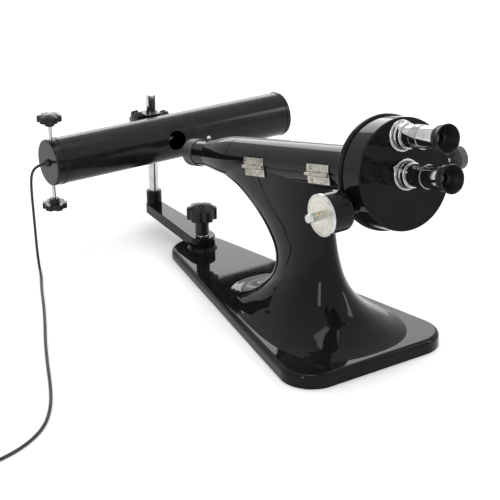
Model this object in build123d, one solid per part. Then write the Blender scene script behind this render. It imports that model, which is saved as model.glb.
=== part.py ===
from build123d import *
import math
import os

# Polarimeter: a cast stand with a trough for the sample tube, an analyser head with two
# eyepieces at one end, a polariser tube at the other, and a sodium lamp on a swinging arm.
# Millimetres, +Z up. The observer stands on the -Y side. The origin lies on the underside
# of the base, in the stand's plane of symmetry.

# Base plate of the stand
BASE_FRONT_Y = -210.0
BASE_CORNER_X = 68.0
BASE_CORNER_RADIUS = 38.0
BASE_FRONT_THICKNESS = 17.0
BASE_TOE_THICKNESS = 12.0
BASE_EDGE_RADIUS = 6.0
BASE_FOOT_CHAMFER = 1.0
TOE_RADIUS = 41.0
CLAMP_Y = 173.0
TOE_BOSS_HEIGHT = 5.0
TOE_BOSS_TOP_RADIUS = 17.0
TOE_BOSS_FLARE = 3.0

# Pillar: where its foot and top lie, and the sections between them. Each section has the
# share of the way up for its front (y, z) and rear (y, z), its width over the top's,
# how square it is, and how much narrower its rear is
PILLAR_FOOT_FRONT = 7.0
PILLAR_FOOT_REAR = 266.0
PILLAR_FOOT_SINK = 4.0
PILLAR_TOP_FRONT = 98.0
PILLAR_TOP_REAR = 23.0
PILLAR_TOP_DROP = 8.0
PILLAR_JOIN_DROP = 19.0
PILLAR_SIDE_INSET = 0.8
PILLAR_RATIOS = (
    (0.0, 0.0, 0.0, 0.0, 3.478, 2.5, 0.24),
    (0.240, 0.041, -0.371, 0.055, 2.885, 2.4, 0.17),
    (0.490, 0.113, -0.742, 0.145, 2.134, 2.3, 0.10),
    (0.677, 0.210, -1.048, 0.270, 1.581, 2.2, 0.04),
    (0.802, 0.323, -1.177, 0.394, 1.225, 2.1, 0.0),
    (0.885, 0.446, -1.097, 0.533, 1.047, 2.1, 0.0),
    (0.938, 0.579, -0.774, 0.664, 0.996, 2.1, 0.0),
    (0.969, 0.708, -0.323, 0.782, 0.988, 2.2, 0.0),
    (0.979, 0.826, 0.258, 0.878, 0.988, 2.3, 0.0),
)

# Optical axis: it leaves the back of the analyser head at this height and falls away
# from the observer
HEAD_Y = -205.0
HEAD_HEIGHT = 236.9
OPTIC_TILT = 13.6

# Trough, lid and hinges
TROUGH_RADIUS = 25.6
TROUGH_LENGTH = 284.0
TROUGH_WALL = 3.6
CHAMBER_FRONT_WALL = 10.0
CHAMBER_REAR_WALL = 8.0
BEAM_BORE_RADIUS = 10.5
PARTING_DROP = 2.85
PARTING_GAP = 0.3
LID_WALL = 3.0
LID_END_GAP = 0.4
HINGE_LEAF_THICKNESS = 1.2
HINGE_LEAF_REACH = 11.0
HINGE_PAD_MARGIN = 1.5
HINGE_CLEARANCE = 0.3
HINGE_LENGTH = 42.0
FRONT_HINGE_INSET = 86.0
REAR_HINGE_INSET = 65.5
HINGE_PAD_DEPTH = 10.0
KNUCKLE_RADIUS = 2.3
KNUCKLE_COUNT = 5
KNUCKLE_GAP = 0.3
PIN_RADIUS = 1.0
PIN_OVERHANG = 3.0
PIN_CLEARANCE = 0.05
SCREW_RADIUS = 1.2
SCREW_HEAD_RADIUS = 2.4
SCREW_HEAD_HEIGHT = 1.1
SCREW_SLOT_WIDTH = 0.7
SCREW_SLOT_DEPTH = 0.6
SCREW_DEPTH = 2.6
SCREW_SPACING = 26.0
SCREW_REACH = 6.8

# Nose, polariser tube and half-shade device
NOSE_LENGTH = 72.0
NOSE_END_RADIUS = 18.4
NOSE_SHOULDER = 18.0
NOSE_SHOULDER_STEP = 0.3
NOSE_WAIST = 41.0
NOSE_WAIST_STEP = 4.8
NOSE_BLEND_RADIUS = 150.0
POLARISER_TUBE_RADIUS = 16.5
POLARISER_TUBE_WALL = 4.0
POLARISER_TUBE_REACH = 30.0
POLARISER_SEAT = 10.0
RIM_RADIUS = 17.6
RIM_LENGTH = 21.5
RIM_SLEEVE = 10.0
CONDENSER_INSET = 2.0
CONDENSER_BULGE = 1.4
CONDENSER_RADIUS = 12.0
CONDENSER_EDGE = 3.0
PRISM_SIDE = 11.6
SHADE_INSET = 6.0
SHADE_RING_LENGTH = 14.0
SHADE_RING_BORE = 9.0
SHADE_TRAVEL = 10.0
SHADE_PIN_RADIUS = 1.2
SHADE_BALL_RADIUS = 2.7
SHADE_BALL_REACH = 20.6
SHADE_SLOT_WIDTH = 3.2
SHADE_PLATE_THICKNESS = 3.0

# Analyser head
BACK_PLATE_STEP = 2.6
BACK_PLATE_THICKNESS = 7.0
BACK_PLATE_BEAD = 2.5
DRUM_RADIUS = 60.0
DRUM_DEPTH = 36.8
DRUM_WALL = 2.6
DRUM_EDGE_RADIUS = 1.6
REGISTER_HEIGHT = 3.0
REGISTER_WIDTH = 5.4
BEARING_RADIUS = 14.0
BEARING_BOSS_RADIUS = 18.0
RUNNING_CLEARANCE = 0.05
AXIAL_GAP = 0.3

# Divided circle, worm wheel and fine drive
DRIVE_DROP = 25.5
DRIVE_POSITION = 12.0
WORM_RADIUS = 5.0
WORM_LENGTH = 24.0
WORM_PITCH = 2.0
WORM_GAP = 0.3
WHEEL_TEETH = 60
WHEEL_THICKNESS = 6.0
TOOTH_DEPTH = 0.9
CIRCLE_INSET = 12.0
CIRCLE_THICKNESS = 2.0
CIRCLE_SHOULDER = 3.0
ANALYSER_BORE = 9.2
ANALYSER_TUBE_RADIUS = 12.0
ANALYSER_LENGTH = 26.0
VERNIER_ARC = 36.0
VERNIER_GAP = 0.4
DRIVE_SHAFT_RADIUS = 3.0
DRIVE_SHAFT_END = 29.0
DRIVE_BEARING_WIDTH = 6.0
DRIVE_BEARING_X = 23.0
DRIVE_HOUSING_RADIUS = 21.5
DRIVE_HOUSING_BORE = 18.0
DRIVE_HOUSING_LENGTH = 27.0
DRIVE_HOUSING_GAP = 1.4
DRIVE_HOUSING_FLOOR = 8.0
DRIVE_HOUSING_SHOULDER = 7.0
DRIVE_NECK_RADIUS = 8.0
DRIVE_NECK_INSET = 14.0
DIAL_RADIUS = 22.7
DIAL_THICKNESS = 3.5
DIAL_GAP = 0.6
DIAL_HUB_RADIUS = 8.0
DIAL_HUB_LENGTH = 6.0
STUB_RADIUS = 4.6
STUB_LENGTH = 17.0
SET_SCREW_RADIUS = 1.5
SET_SCREW_DEPTH = 2.6
SET_SCREW_INSET = 4.0
SET_SCREW_AIM = -38.0

# Circle lock on the right of the head
LOCK_POSITION = 21.0
LOCK_SHAFT_RADIUS = 2.6
LOCK_TIP_GAP = 1.0
LOCK_BOSS_RADIUS = 6.5
LOCK_BOSS_REACH = 4.0
LOCK_KNOB_RADIUS = 13.0
LOCK_KNOB_THICKNESS = 12.0
LOCK_KNOB_REACH = 17.0

# Eyepieces
FLANGE_RADIUS = 16.8
FLANGE_EDGE_MARGIN = 2.2
FLANGE_THICKNESS = 3.0
FLANGE_CONE_RADIUS = 15.0
FLANGE_NECK_RADIUS = 13.8
FLANGE_LENGTH = 13.2
FLANGE_SPIGOT_RADIUS = 14.8
EYETUBE_RADIUS = 12.1
EYETUBE_SINK = 4.3
EYETUBE_REACH = 59.2
EYETUBE_BORE = 10.4
GRIP_REACH = 37.7
GRIP_LENGTH = 11.0
GRIP_RADIUS = 12.9
EYECUP_OVERLAP = 7.0
EYECUP_REACH = 16.3
EYECUP_RADIUS = 15.3
EYECUP_RING_RADIUS = 13.5
EYECUP_RING_LENGTH = 5.0
EYECUP_SPIGOT_RADIUS = 11.0
EYE_LENS_RADIUS = 9.0
EYE_LENS_EDGE = 3.5
EYE_APERTURE_RADIUS = 5.5
FLANGE_SCREW_ANGLE = 148.0
FLANGE_SCREW_RADIUS = 3.0
FLANGE_SCREW_SHANK = 1.5
FLANGE_SCREW_HEIGHT = 3.2
FLANGE_SCREW_SLOT = 0.8

# Arm, rod and clamp
ROD_X = 3.9
ROD_RADIUS = 7.0
ROD_ABOVE_BLOCK = 26.0
ARM_THICKNESS = 13.5
ARM_END_RADIUS = 11.5
ARM_EDGE_RADIUS = 1.2
ROD_SEAT = 9.0
COLLAR_RADIUS = 10.6
COLLAR_HEIGHT = 19.5
STUD_RADIUS = 5.0
STUD_DEPTH = 11.0
STUD_REACH = 24.0
CLAMP_WASHER_RADIUS = 9.2
CLAMP_WASHER_THICKNESS = 1.6
CLAMP_KNOB_DIAMETER = 40.0
CLAMP_KNOB_NECK = 22.0
CLAMP_KNOB_NECK_RADIUS = 9.0
CLAMP_KNOB_HEIGHT = 20.0
STAR_LOBES = 6

# Lamp carriage
BLOCK_RISE = 0.2
BLOCK_HEIGHT = 22.0
BLOCK_LEFT_WALL = 5.5
BLOCK_RIGHT_WALL = 3.1
BLOCK_FRONT_WALL = 4.0
BLOCK_BACK_WALL = 5.0
BLOCK_EDGE_RADIUS = 2.5
LAMP_TO_BLOCK = 3.5
ROD_KNOB_DIAMETER = 32.0
ROD_KNOB_RISE = 12.0
ROD_KNOB_NECK = 5.0
ROD_KNOB_HEIGHT = 11.0
ROD_SCREW_RADIUS = 3.0
TILT_BOLT_RADIUS = 3.0
TILT_BOLT_DEPTH = 1.5
TILT_KNOB_DIAMETER = 24.0
TILT_KNOB_NECK = 3.0
TILT_KNOB_HEIGHT = 8.0
TILT_BOLT_DROP = 2.0
SADDLE_GAP = 0.4
SADDLE_LUG_THICKNESS = 4.0
SADDLE_LUG_RADIUS = 7.0
SADDLE_PLATE_THICKNESS = 2.0
SADDLE_ARC = 36.0
SADDLE_HALF_LENGTH = 22.0

# Lamp
LAMP_FROM_RIM = 40.0
LAMP_HEIGHT = 140.8
LAMP_RADIUS = 30.2
LAMP_WALL = 1.6
LAMP_LEFT = -174.9
LAMP_RIGHT = 183.2
LAMP_CAP_SKIRT = 12.0
LAMP_BEAD = 0.7
LAMP_BEAD_WIDTH = 3.0
LAMP_PLUG_DEPTH = 8.0
LAMP_CAP_FACE = 4.0
FAR_CAP_LENGTH = 3.2
LIGHT_HOLE_RADIUS = 13.0
LIGHT_HOLE_TILT = 8.0
SOCKET_RADIUS = 14.0
SOCKET_LENGTH = 34.0
SOCKET_DEPTH = 12.0
BULB_RADIUS = 13.0
BULB_LENGTH = 190.0
BULB_BASE_RADIUS = 10.5
BULB_BASE_LENGTH = 16.0
CAP_SCREW_X = -169.0
CAP_SCREW_RADIUS = 2.4
CAP_SCREW_LENGTH = 19.0
CAP_SCREW_SEAT = 4.0
CAP_KNOB_DIAMETER = 32.0
CAP_KNOB_NECK = 6.0
CAP_KNOB_HEIGHT = 10.0

# Cord
CORD_DIAMETER = 3.6
GLAND_RADIUS = 5.0
GLAND_LENGTH = 5.1
COIL_RADIUS = 21.5
COIL_THICKNESS = 12.0
COIL_CENTRE = (-482.0, -179.2)
COIL_LEAD = 15.6
PLUG_WIDTH = 20.0
PLUG_HEIGHT = 14.0
PLUG_LENGTH = 34.0
PLUG_TAPER_LENGTH = 22.0
PLUG_SLEEVE_RADIUS = 4.5
PLUG_EDGE_RADIUS = 2.5
PLUG_PIN_RADIUS = 2.0
PLUG_PIN_LENGTH = 19.0
PLUG_PIN_SPACING = 12.0

# Cord's route down from the gland's tip: how far left, how far forward, and the share of
# the lamp's height
CORD_DROP = (
    (0.0, 0.0, 1.0),
    (9.0, 0.0, 0.9957),
    (17.0, 0.1, 0.9553),
    (20.0, 0.3, 0.8807),
    (20.6, 0.5, 0.767),
    (20.2, 0.8, 0.5824),
    (20.0, 1.8, 0.3693),
    (20.6, 4.3, 0.1847),
    (23.5, 14.3, 0.0533),
)
# Along the surface the instrument stands on
CORD_LAY = (
    (-209.5, 229.0, 1.9),
    (-225.0, 196.0, 1.9),
    (-244.0, 150.0, 1.9),
    (-264.5, 104.0, 1.9),
    (-286.5, 57.0, 1.9),
    (-307.0, 9.0, 1.9),
    (-325.5, -37.0, 1.9),
    (-345.0, -79.0, 1.9),
    (-371.0, -116.0, 1.9),
    (-406.0, -139.0, 1.9),
    (-441.0, -148.5, 1.9),
    (-473.1, -152.3, 2.2),
)

TILT_RAD = math.radians(OPTIC_TILT)
PARTING = -PARTING_DROP
OPTIC = Plane(
    origin=(0, HEAD_Y, HEAD_HEIGHT),
    x_dir=(1, 0, 0),
    z_dir=(0, -math.cos(TILT_RAD), math.sin(TILT_RAD)),
)
HINGE_X = -(TROUGH_RADIUS + KNUCKLE_RADIUS + HINGE_CLEARANCE)
HINGE_POSITIONS = (REAR_HINGE_INSET - TROUGH_LENGTH, -FRONT_HINGE_INSET)
NOSE_END = -(TROUGH_LENGTH + NOSE_LENGTH)
POLARISER_TUBE_END = POLARISER_TUBE_REACH - NOSE_END
RIM_END = POLARISER_TUBE_END + RIM_LENGTH
SHADE_POSITION = SHADE_INSET - NOSE_END
LAMP_Y = HEAD_Y + RIM_END * math.cos(TILT_RAD) + LAMP_FROM_RIM + LAMP_RADIUS
TUBE_INNER = POLARISER_TUBE_RADIUS - POLARISER_TUBE_WALL
PRISM_BORE = PRISM_SIDE / math.sqrt(2)
BOSS_TOP = BASE_TOE_THICKNESS + TOE_BOSS_HEIGHT
ARM_TOP = BOSS_TOP + ARM_THICKNESS
COLLAR_TOP = ARM_TOP + COLLAR_HEIGHT
BACK_PLATE_RADIUS = DRUM_RADIUS + BACK_PLATE_STEP
CIRCLE_RADIUS = DRUM_RADIUS - CIRCLE_INSET
UPPER_EYEPIECE_RISE = DRUM_RADIUS - FLANGE_RADIUS - FLANGE_EDGE_MARGIN
DRIVE_HOUSING_RIGHT = -BACK_PLATE_RADIUS - DRIVE_HOUSING_GAP
DRIVE_HOUSING_LEFT = DRIVE_HOUSING_RIGHT - DRIVE_HOUSING_LENGTH
DRIVE_NECK_END = DRIVE_NECK_INSET - DRUM_RADIUS
LOCK_KNOB_X = DRUM_RADIUS + LOCK_KNOB_REACH
EYETUBE_START = DRUM_DEPTH - EYETUBE_SINK
EYETUBE_END = DRUM_DEPTH + EYETUBE_REACH
GRIP_END = DRUM_DEPTH + GRIP_REACH
GRIP_START = GRIP_END - GRIP_LENGTH
EYECUP_START = EYETUBE_END - EYECUP_OVERLAP
EYECUP_END = EYETUBE_END + EYECUP_REACH
BLOCK_LEFT = ROD_X - ROD_RADIUS - BLOCK_LEFT_WALL
BLOCK_RIGHT = ROD_X + ROD_RADIUS + BLOCK_RIGHT_WALL
BLOCK_FRONT = LAMP_Y + LAMP_RADIUS + SADDLE_PLATE_THICKNESS + LAMP_TO_BLOCK
ROD_Y = BLOCK_FRONT + BLOCK_FRONT_WALL + ROD_RADIUS
BLOCK_BACK = ROD_Y + ROD_RADIUS + BLOCK_BACK_WALL
BLOCK_BOTTOM = LAMP_HEIGHT + BLOCK_RISE
ROD_TOP = BLOCK_BOTTOM + BLOCK_HEIGHT + ROD_ABOVE_BLOCK
ROD_KNOB_Z = BLOCK_BOTTOM + ROD_KNOB_RISE


def on_axis(shape):
    """From the optical frame (x, rise, towards the observer) to the stand's frame."""
    return OPTIC.location * shape


def lying(shape):
    """Turn a shape made about Z so that it lies along X."""
    return Rot(0, 90, 0) * shape


def turned(profile, rounds=()):
    """Revolve a (radius, height) outline about Z, with some of its corners rounded."""
    face = make_face(Polyline(*profile, close=True))
    for corner, radius in rounds:
        face = fillet(face.vertices().sort_by_distance((corner[0], corner[1], 0))[0], radius)
    return revolve(Rot(90, 0, 0) * face, axis=Axis.Z)


def rod(radius, low, high):
    return Pos(0, 0, (low + high) / 2) * Cylinder(radius, high - low)


def ring(outer, inner, low, high):
    return rod(outer, low, high) - rod(inner, low - 1, high + 1)


def slab_above(level):
    """Everything in the optical frame that lies higher than a level."""
    size = 2 * RIM_END
    return Pos(0, level + size / 2, 0) * Box(size, size, 2 * size)


def slab_below(level):
    size = 2 * RIM_END
    return Pos(0, level - size / 2, 0) * Box(size, size, 2 * size)


def star_knob(diameter, height, neck, neck_radius, bore):
    """Domed grip with scalloped edge above a round neck, standing on Z = 0."""
    outline = Circle(diameter / 2)
    for lobe in range(STAR_LOBES):
        notch = Pos(diameter * 0.565, 0) * Circle(diameter * 0.15)
        outline -= Rot(0, 0, 360 / STAR_LOBES * lobe) * notch
    cap = Pos(0, 0, neck) * extrude(outline, height)
    rise = height * 0.28
    dome_radius = ((diameter / 2) ** 2 + rise ** 2) / (2 * rise)
    cap &= Pos(0, 0, neck + height - dome_radius) * Sphere(dome_radius)
    grip = cap + rod(neck_radius, 0, neck + 1)
    return grip - rod(bore, -1, neck + height * 0.5)


# Stand

def base_plate():
    corners = [
        Pos(side * BASE_CORNER_X, BASE_FRONT_Y + BASE_CORNER_RADIUS) * Circle(BASE_CORNER_RADIUS)
        for side in (-1, 1)
    ]
    toe = Pos(0, CLAMP_Y) * Circle(TOE_RADIUS)
    outline = make_hull([edge for shape in (*corners, toe) for edge in shape.edges()])
    plate = extrude(outline, BASE_FRONT_THICKNESS)
    run = CLAMP_Y - BASE_FRONT_Y
    fall = BASE_FRONT_THICKNESS - BASE_TOE_THICKNESS
    top = Plane(origin=(0, BASE_FRONT_Y, BASE_FRONT_THICKNESS), z_dir=(0, fall, run))
    plate = split(plate, bisect_by=top, keep=Keep.BOTTOM)
    plate = fillet(plate.faces().sort_by(Axis.Z)[-1].edges(), BASE_EDGE_RADIUS)
    return chamfer(plate.faces().sort_by(Axis.Z)[0].edges(), BASE_FOOT_CHAMFER)


def pillar_section(front, rear, half_width, squareness, taper):
    """Closed curve spanned between a front point and a rear point (y, z)."""
    middle_y = (front[0] + rear[0]) / 2
    middle_z = (front[1] + rear[1]) / 2
    points = []
    count = 20
    for step in range(count):
        turn = 2 * math.pi * step / count
        across = math.copysign(abs(math.cos(turn)) ** (2 / squareness), math.cos(turn))
        back = math.copysign(abs(math.sin(turn)) ** (2 / squareness), math.sin(turn))
        points.append((
            half_width * across * (1 - taper * back),
            middle_y + (rear[0] - front[0]) / 2 * back,
            middle_z + (rear[1] - front[1]) / 2 * back,
        ))
    return make_face(Spline(*points, periodic=True))


def under_axis(y, drop):
    """Point in the stand's plane of symmetry, a drop below the optical axis."""
    fall = math.tan(TILT_RAD)
    return (y, HEAD_HEIGHT - fall * (y - HEAD_Y) - drop / math.cos(TILT_RAD))


def between(low, high, share_y, share_z):
    return (low[0] + (high[0] - low[0]) * share_y, low[1] + (high[1] - low[1]) * share_z)


def pillar():
    """Flared column: sections from the foot up into the underside of the trough."""
    nose_y = HEAD_Y - NOSE_END * math.cos(TILT_RAD)
    foot_front = (BASE_FRONT_Y + PILLAR_FOOT_FRONT, BASE_FRONT_THICKNESS - PILLAR_FOOT_SINK)
    foot_rear = (BASE_FRONT_Y + PILLAR_FOOT_REAR, BASE_TOE_THICKNESS - PILLAR_FOOT_SINK + 1)
    front_y = HEAD_Y + PILLAR_TOP_FRONT
    rear_y = nose_y - PILLAR_TOP_REAR
    top_front = under_axis(front_y, PILLAR_TOP_DROP)
    top_rear = under_axis(rear_y, PILLAR_TOP_DROP)
    width = TROUGH_RADIUS - PILLAR_SIDE_INSET
    sections = []
    for y1, z1, y2, z2, wide, squareness, taper in PILLAR_RATIOS:
        sections.append(pillar_section(between(foot_front, top_front, y1, z1),
                                       between(foot_rear, top_rear, y2, z2),
                                       width * wide, squareness, taper))
    sections.append(pillar_section(under_axis(front_y, PILLAR_JOIN_DROP),
                                   under_axis(rear_y - PILLAR_JOIN_DROP + PILLAR_TOP_DROP,
                                              PILLAR_JOIN_DROP), width, 2.4, 0.0))
    sections.append(pillar_section(top_front, top_rear, width, 2.4, 0.0))
    return loft(sections)


def toe_boss():
    foot = BASE_TOE_THICKNESS - 2
    top = TOE_BOSS_TOP_RADIUS
    boss = turned([(0, foot), (top + TOE_BOSS_FLARE, foot), (top + TOE_BOSS_FLARE, foot + 2.6),
                   (top, BOSS_TOP - 1), (top, BOSS_TOP), (0, BOSS_TOP)])
    return Pos(0, CLAMP_Y, 0) * boss


def leaf_screw_places(rise):
    """Planes for the screws of one set of leaves: level below the parting, radial above."""
    places = []
    turn = math.asin((PARTING + rise) / TROUGH_RADIUS) if rise > 0 else 0
    out = Vector(-math.cos(turn), math.sin(turn), 0)
    at = out * (TROUGH_RADIUS + HINGE_LEAF_THICKNESS)
    height = at.Y if rise > 0 else PARTING + rise
    for centre in HINGE_POSITIONS:
        for side in (-1, 1):
            middle = (at.X, height, centre + side * SCREW_SPACING / 2)
            places.append(Plane(origin=middle, x_dir=(0, 0, 1), z_dir=out))
    return places


def leaf_screw_holes(rise, radius):
    holes = [place.location * rod(radius, -SCREW_DEPTH - HINGE_LEAF_THICKNESS, 1)
             for place in leaf_screw_places(rise)]
    return Part() + holes


def nose_envelope():
    """Tapering nose behind the trough, with the seat of the polariser tube."""
    back = -TROUGH_LENGTH
    seat = NOSE_END + POLARISER_SEAT
    shoulder = (TROUGH_RADIUS - NOSE_SHOULDER_STEP, back - NOSE_SHOULDER)
    waist = (NOSE_END_RADIUS + NOSE_WAIST_STEP, back - NOSE_WAIST)
    return turned(
        [(PRISM_BORE, back), (TROUGH_RADIUS, back), shoulder, waist,
         (NOSE_END_RADIUS, NOSE_END), (POLARISER_TUBE_RADIUS, NOSE_END),
         (POLARISER_TUBE_RADIUS, seat), (PRISM_BORE, seat)],
        [(shoulder, NOSE_BLEND_RADIUS), (waist, NOSE_BLEND_RADIUS)],
    )


def hinge_pads():
    """Flat seats for the lower hinge leaves on the side of the trough."""
    length = HINGE_LENGTH + 2 * HINGE_PAD_MARGIN
    height = HINGE_LEAF_REACH + HINGE_PAD_MARGIN
    pads = Part()
    for centre in HINGE_POSITIONS:
        pads += Pos(HINGE_PAD_DEPTH / 2 - TROUGH_RADIUS, PARTING - height / 2, centre) * Box(
            HINGE_PAD_DEPTH, height, length)
    return pads


def stand_casting():
    trough = rod(TROUGH_RADIUS, -TROUGH_LENGTH, 0) + nose_envelope()
    trough = (trough & slab_below(PARTING)) + hinge_pads()
    body = base_plate() + pillar() + toe_boss()
    body -= on_axis(rod(2 * TROUGH_RADIUS, -RIM_END, TROUGH_RADIUS) & slab_above(PARTING))
    body += on_axis(trough)
    chamber = rod(TROUGH_RADIUS - TROUGH_WALL, -TROUGH_LENGTH + CHAMBER_REAR_WALL,
                  -CHAMBER_FRONT_WALL)
    body -= on_axis(chamber + rod(BEAM_BORE_RADIUS, -TROUGH_LENGTH, 1))
    body -= on_axis(rod(PRISM_BORE, NOSE_END - 1, -TROUGH_LENGTH + 1))
    body -= on_axis(rod(POLARISER_TUBE_RADIUS, -RIM_END, NOSE_END + POLARISER_SEAT))
    body -= on_axis(leaf_screw_holes(-SCREW_REACH, SCREW_RADIUS))
    return body - Pos(0, CLAMP_Y, 0) * rod(STUD_RADIUS + RUNNING_CLEARANCE,
                                           BOSS_TOP - STUD_DEPTH, BOSS_TOP + 1)


# Nose, polariser tube and what they hold

def nose_cover():
    """Upper half of the nose; its lower half is cast with the trough."""
    return on_axis(nose_envelope() & slab_above(PARTING))


def polariser_tube():
    tube = ring(POLARISER_TUBE_RADIUS, TUBE_INNER, -POLARISER_TUBE_END, NOSE_END + POLARISER_SEAT)
    reach = SHADE_TRAVEL + 1.0
    width = 2 * (POLARISER_TUBE_RADIUS * math.sin(math.radians(reach)) + SHADE_PIN_RADIUS + 0.3)
    slot = Pos(0, POLARISER_TUBE_RADIUS, -SHADE_POSITION) * Box(width, 2 * POLARISER_TUBE_WALL + 4,
                                                             SHADE_SLOT_WIDTH)
    return on_axis(tube - slot)


def polariser_rim():
    lens_seat = -RIM_END + CONDENSER_INSET + CONDENSER_EDGE
    sleeve = -POLARISER_TUBE_END + RIM_SLEEVE
    return on_axis(turned(
        [(CONDENSER_RADIUS, -RIM_END), (RIM_RADIUS, -RIM_END), (RIM_RADIUS, -POLARISER_TUBE_END),
         (TUBE_INNER, -POLARISER_TUBE_END), (TUBE_INNER, sleeve), (PRISM_BORE, sleeve),
         (PRISM_BORE, lens_seat), (CONDENSER_RADIUS, lens_seat)],
        [((RIM_RADIUS, -RIM_END), 1.5), ((RIM_RADIUS, -POLARISER_TUBE_END), 0.8)],
    ))


def condenser_lens():
    front = -RIM_END + CONDENSER_INSET
    edge = front + CONDENSER_EDGE
    bulge = CONDENSER_BULGE
    lens = turned([(0, edge), (CONDENSER_RADIUS, edge), (CONDENSER_RADIUS, front),
                   (CONDENSER_RADIUS * 0.7, front - bulge * 0.5),
                   (CONDENSER_RADIUS * 0.35, front - bulge * 0.88), (0, front - bulge)])
    return on_axis(lens)


def polariser_prism():
    low = -RIM_END + CONDENSER_INSET + CONDENSER_EDGE
    high = -POLARISER_TUBE_END + RIM_SLEEVE
    return on_axis(Pos(0, 0, (low + high) / 2) * Box(PRISM_SIDE, PRISM_SIDE, high - low))


def shade_ring():
    half = SHADE_RING_LENGTH / 2
    body = ring(TUBE_INNER - RUNNING_CLEARANCE, SHADE_RING_BORE, -SHADE_POSITION - half,
                -SHADE_POSITION + half)
    pin = Rot(-90, 0, 0) * rod(SHADE_PIN_RADIUS, 0, 2 * TUBE_INNER)
    return on_axis(body - Pos(0, 0, -SHADE_POSITION) * pin)


def shade_lever():
    pin = rod(SHADE_PIN_RADIUS, SHADE_RING_BORE + 0.6, SHADE_BALL_REACH)
    lever = pin + Pos(0, 0, SHADE_BALL_REACH) * Sphere(SHADE_BALL_RADIUS)
    return on_axis(Pos(0, 0, -SHADE_POSITION) * (Rot(-90, 0, 0) * lever))


def shade_plate():
    """Half disc that covers one half of the field."""
    disc = rod(SHADE_RING_BORE, -SHADE_POSITION, -SHADE_POSITION + SHADE_PLATE_THICKNESS)
    side = 4 * TUBE_INNER
    half = Pos(side / 2, 0, -SHADE_POSITION) * Box(side, side, side)
    return on_axis(disc & half)


# Lid and hinges

def lid():
    low = -TROUGH_LENGTH + LID_END_GAP
    shell = ring(TROUGH_RADIUS, TROUGH_RADIUS - LID_WALL, low, -LID_END_GAP)
    shell &= slab_above(PARTING + PARTING_GAP)
    return on_axis(shell - leaf_screw_holes(SCREW_REACH, SCREW_RADIUS))


def knuckle_spans(lower):
    """Every second slice of each hinge, lower leaves first."""
    pitch = HINGE_LENGTH / KNUCKLE_COUNT
    spans = []
    for centre in HINGE_POSITIONS:
        for number in range(KNUCKLE_COUNT):
            if (number % 2 == 0) == lower:
                start = centre - HINGE_LENGTH / 2 + number * pitch
                spans.append((start + KNUCKLE_GAP / 2, start + pitch - KNUCKLE_GAP / 2))
    return spans


def hinge_leaves(lower):
    leaves = Part()
    for centre in HINGE_POSITIONS:
        low = centre - HINGE_LENGTH / 2
        high = centre + HINGE_LENGTH / 2
        if lower:
            leaf = Pos(-TROUGH_RADIUS - HINGE_LEAF_THICKNESS / 2, PARTING - HINGE_LEAF_REACH / 2,
                       centre) * Box(HINGE_LEAF_THICKNESS, HINGE_LEAF_REACH, HINGE_LENGTH)
            leaf &= slab_below(PARTING - PARTING_GAP)
        else:
            leaf = ring(TROUGH_RADIUS + HINGE_LEAF_THICKNESS, TROUGH_RADIUS, low, high)
            leaf &= Pos(-TROUGH_RADIUS, 0, centre) * Box(TROUGH_RADIUS, 4 * TROUGH_RADIUS,
                                                         2 * HINGE_LENGTH)
            leaf &= slab_above(PARTING + PARTING_GAP + 0.1)
            leaf &= slab_below(PARTING + HINGE_LEAF_REACH)
        leaves += leaf
    for start, stop in knuckle_spans(not lower):
        leaves -= Pos(HINGE_X, PARTING, 0) * rod(KNUCKLE_RADIUS + 0.3, start - KNUCKLE_GAP,
                                                 stop + KNUCKLE_GAP)
    for start, stop in knuckle_spans(lower):
        leaves += Pos(HINGE_X, PARTING, 0) * rod(KNUCKLE_RADIUS, start, stop)
    bore = PIN_RADIUS if lower else PIN_RADIUS + PIN_CLEARANCE
    leaves -= Pos(HINGE_X, PARTING, 0) * rod(bore, -TROUGH_LENGTH, 0)
    rise = -SCREW_REACH if lower else SCREW_REACH
    return on_axis(leaves - leaf_screw_holes(rise, SCREW_RADIUS))


def hinge_pins():
    pins = Part()
    reach = HINGE_LENGTH / 2 + PIN_OVERHANG
    for centre in HINGE_POSITIONS:
        pins += Pos(HINGE_X, PARTING, 0) * rod(PIN_RADIUS, centre - reach, centre + reach)
    return on_axis(pins)


def hinge_screws(rise):
    length = SCREW_DEPTH + HINGE_LEAF_THICKNESS
    screw = turned([(0, -length), (SCREW_RADIUS, -length), (SCREW_RADIUS, 0),
                    (SCREW_HEAD_RADIUS, 0), (SCREW_HEAD_RADIUS, 0.35),
                    (SCREW_HEAD_RADIUS * 0.6, SCREW_HEAD_HEIGHT * 0.8), (0, SCREW_HEAD_HEIGHT)])
    screw -= Pos(0, 0, SCREW_HEAD_HEIGHT) * Box(SCREW_SLOT_WIDTH, 3 * SCREW_HEAD_RADIUS,
                                                2 * SCREW_SLOT_DEPTH)
    return on_axis(Part() + [place.location * screw for place in leaf_screw_places(rise)])


# Analyser head

REGISTER_TOP = BACK_PLATE_THICKNESS + REGISTER_HEIGHT
REGISTER_RADIUS = DRUM_RADIUS - DRUM_WALL
WHEEL_RADIUS = DRIVE_DROP - WORM_RADIUS - WORM_GAP
WHEEL_LOW = DRIVE_POSITION - WHEEL_THICKNESS / 2
WHEEL_HIGH = DRIVE_POSITION + WHEEL_THICKNESS / 2
CIRCLE_LOW = WHEEL_HIGH + CIRCLE_SHOULDER
CIRCLE_HIGH = CIRCLE_LOW + CIRCLE_THICKNESS


def across_at(position, drop, shape):
    """Lay a shape made about Z along X, at a depth and a drop in the optical frame."""
    return Pos(0, -drop, position) * lying(shape)


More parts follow.
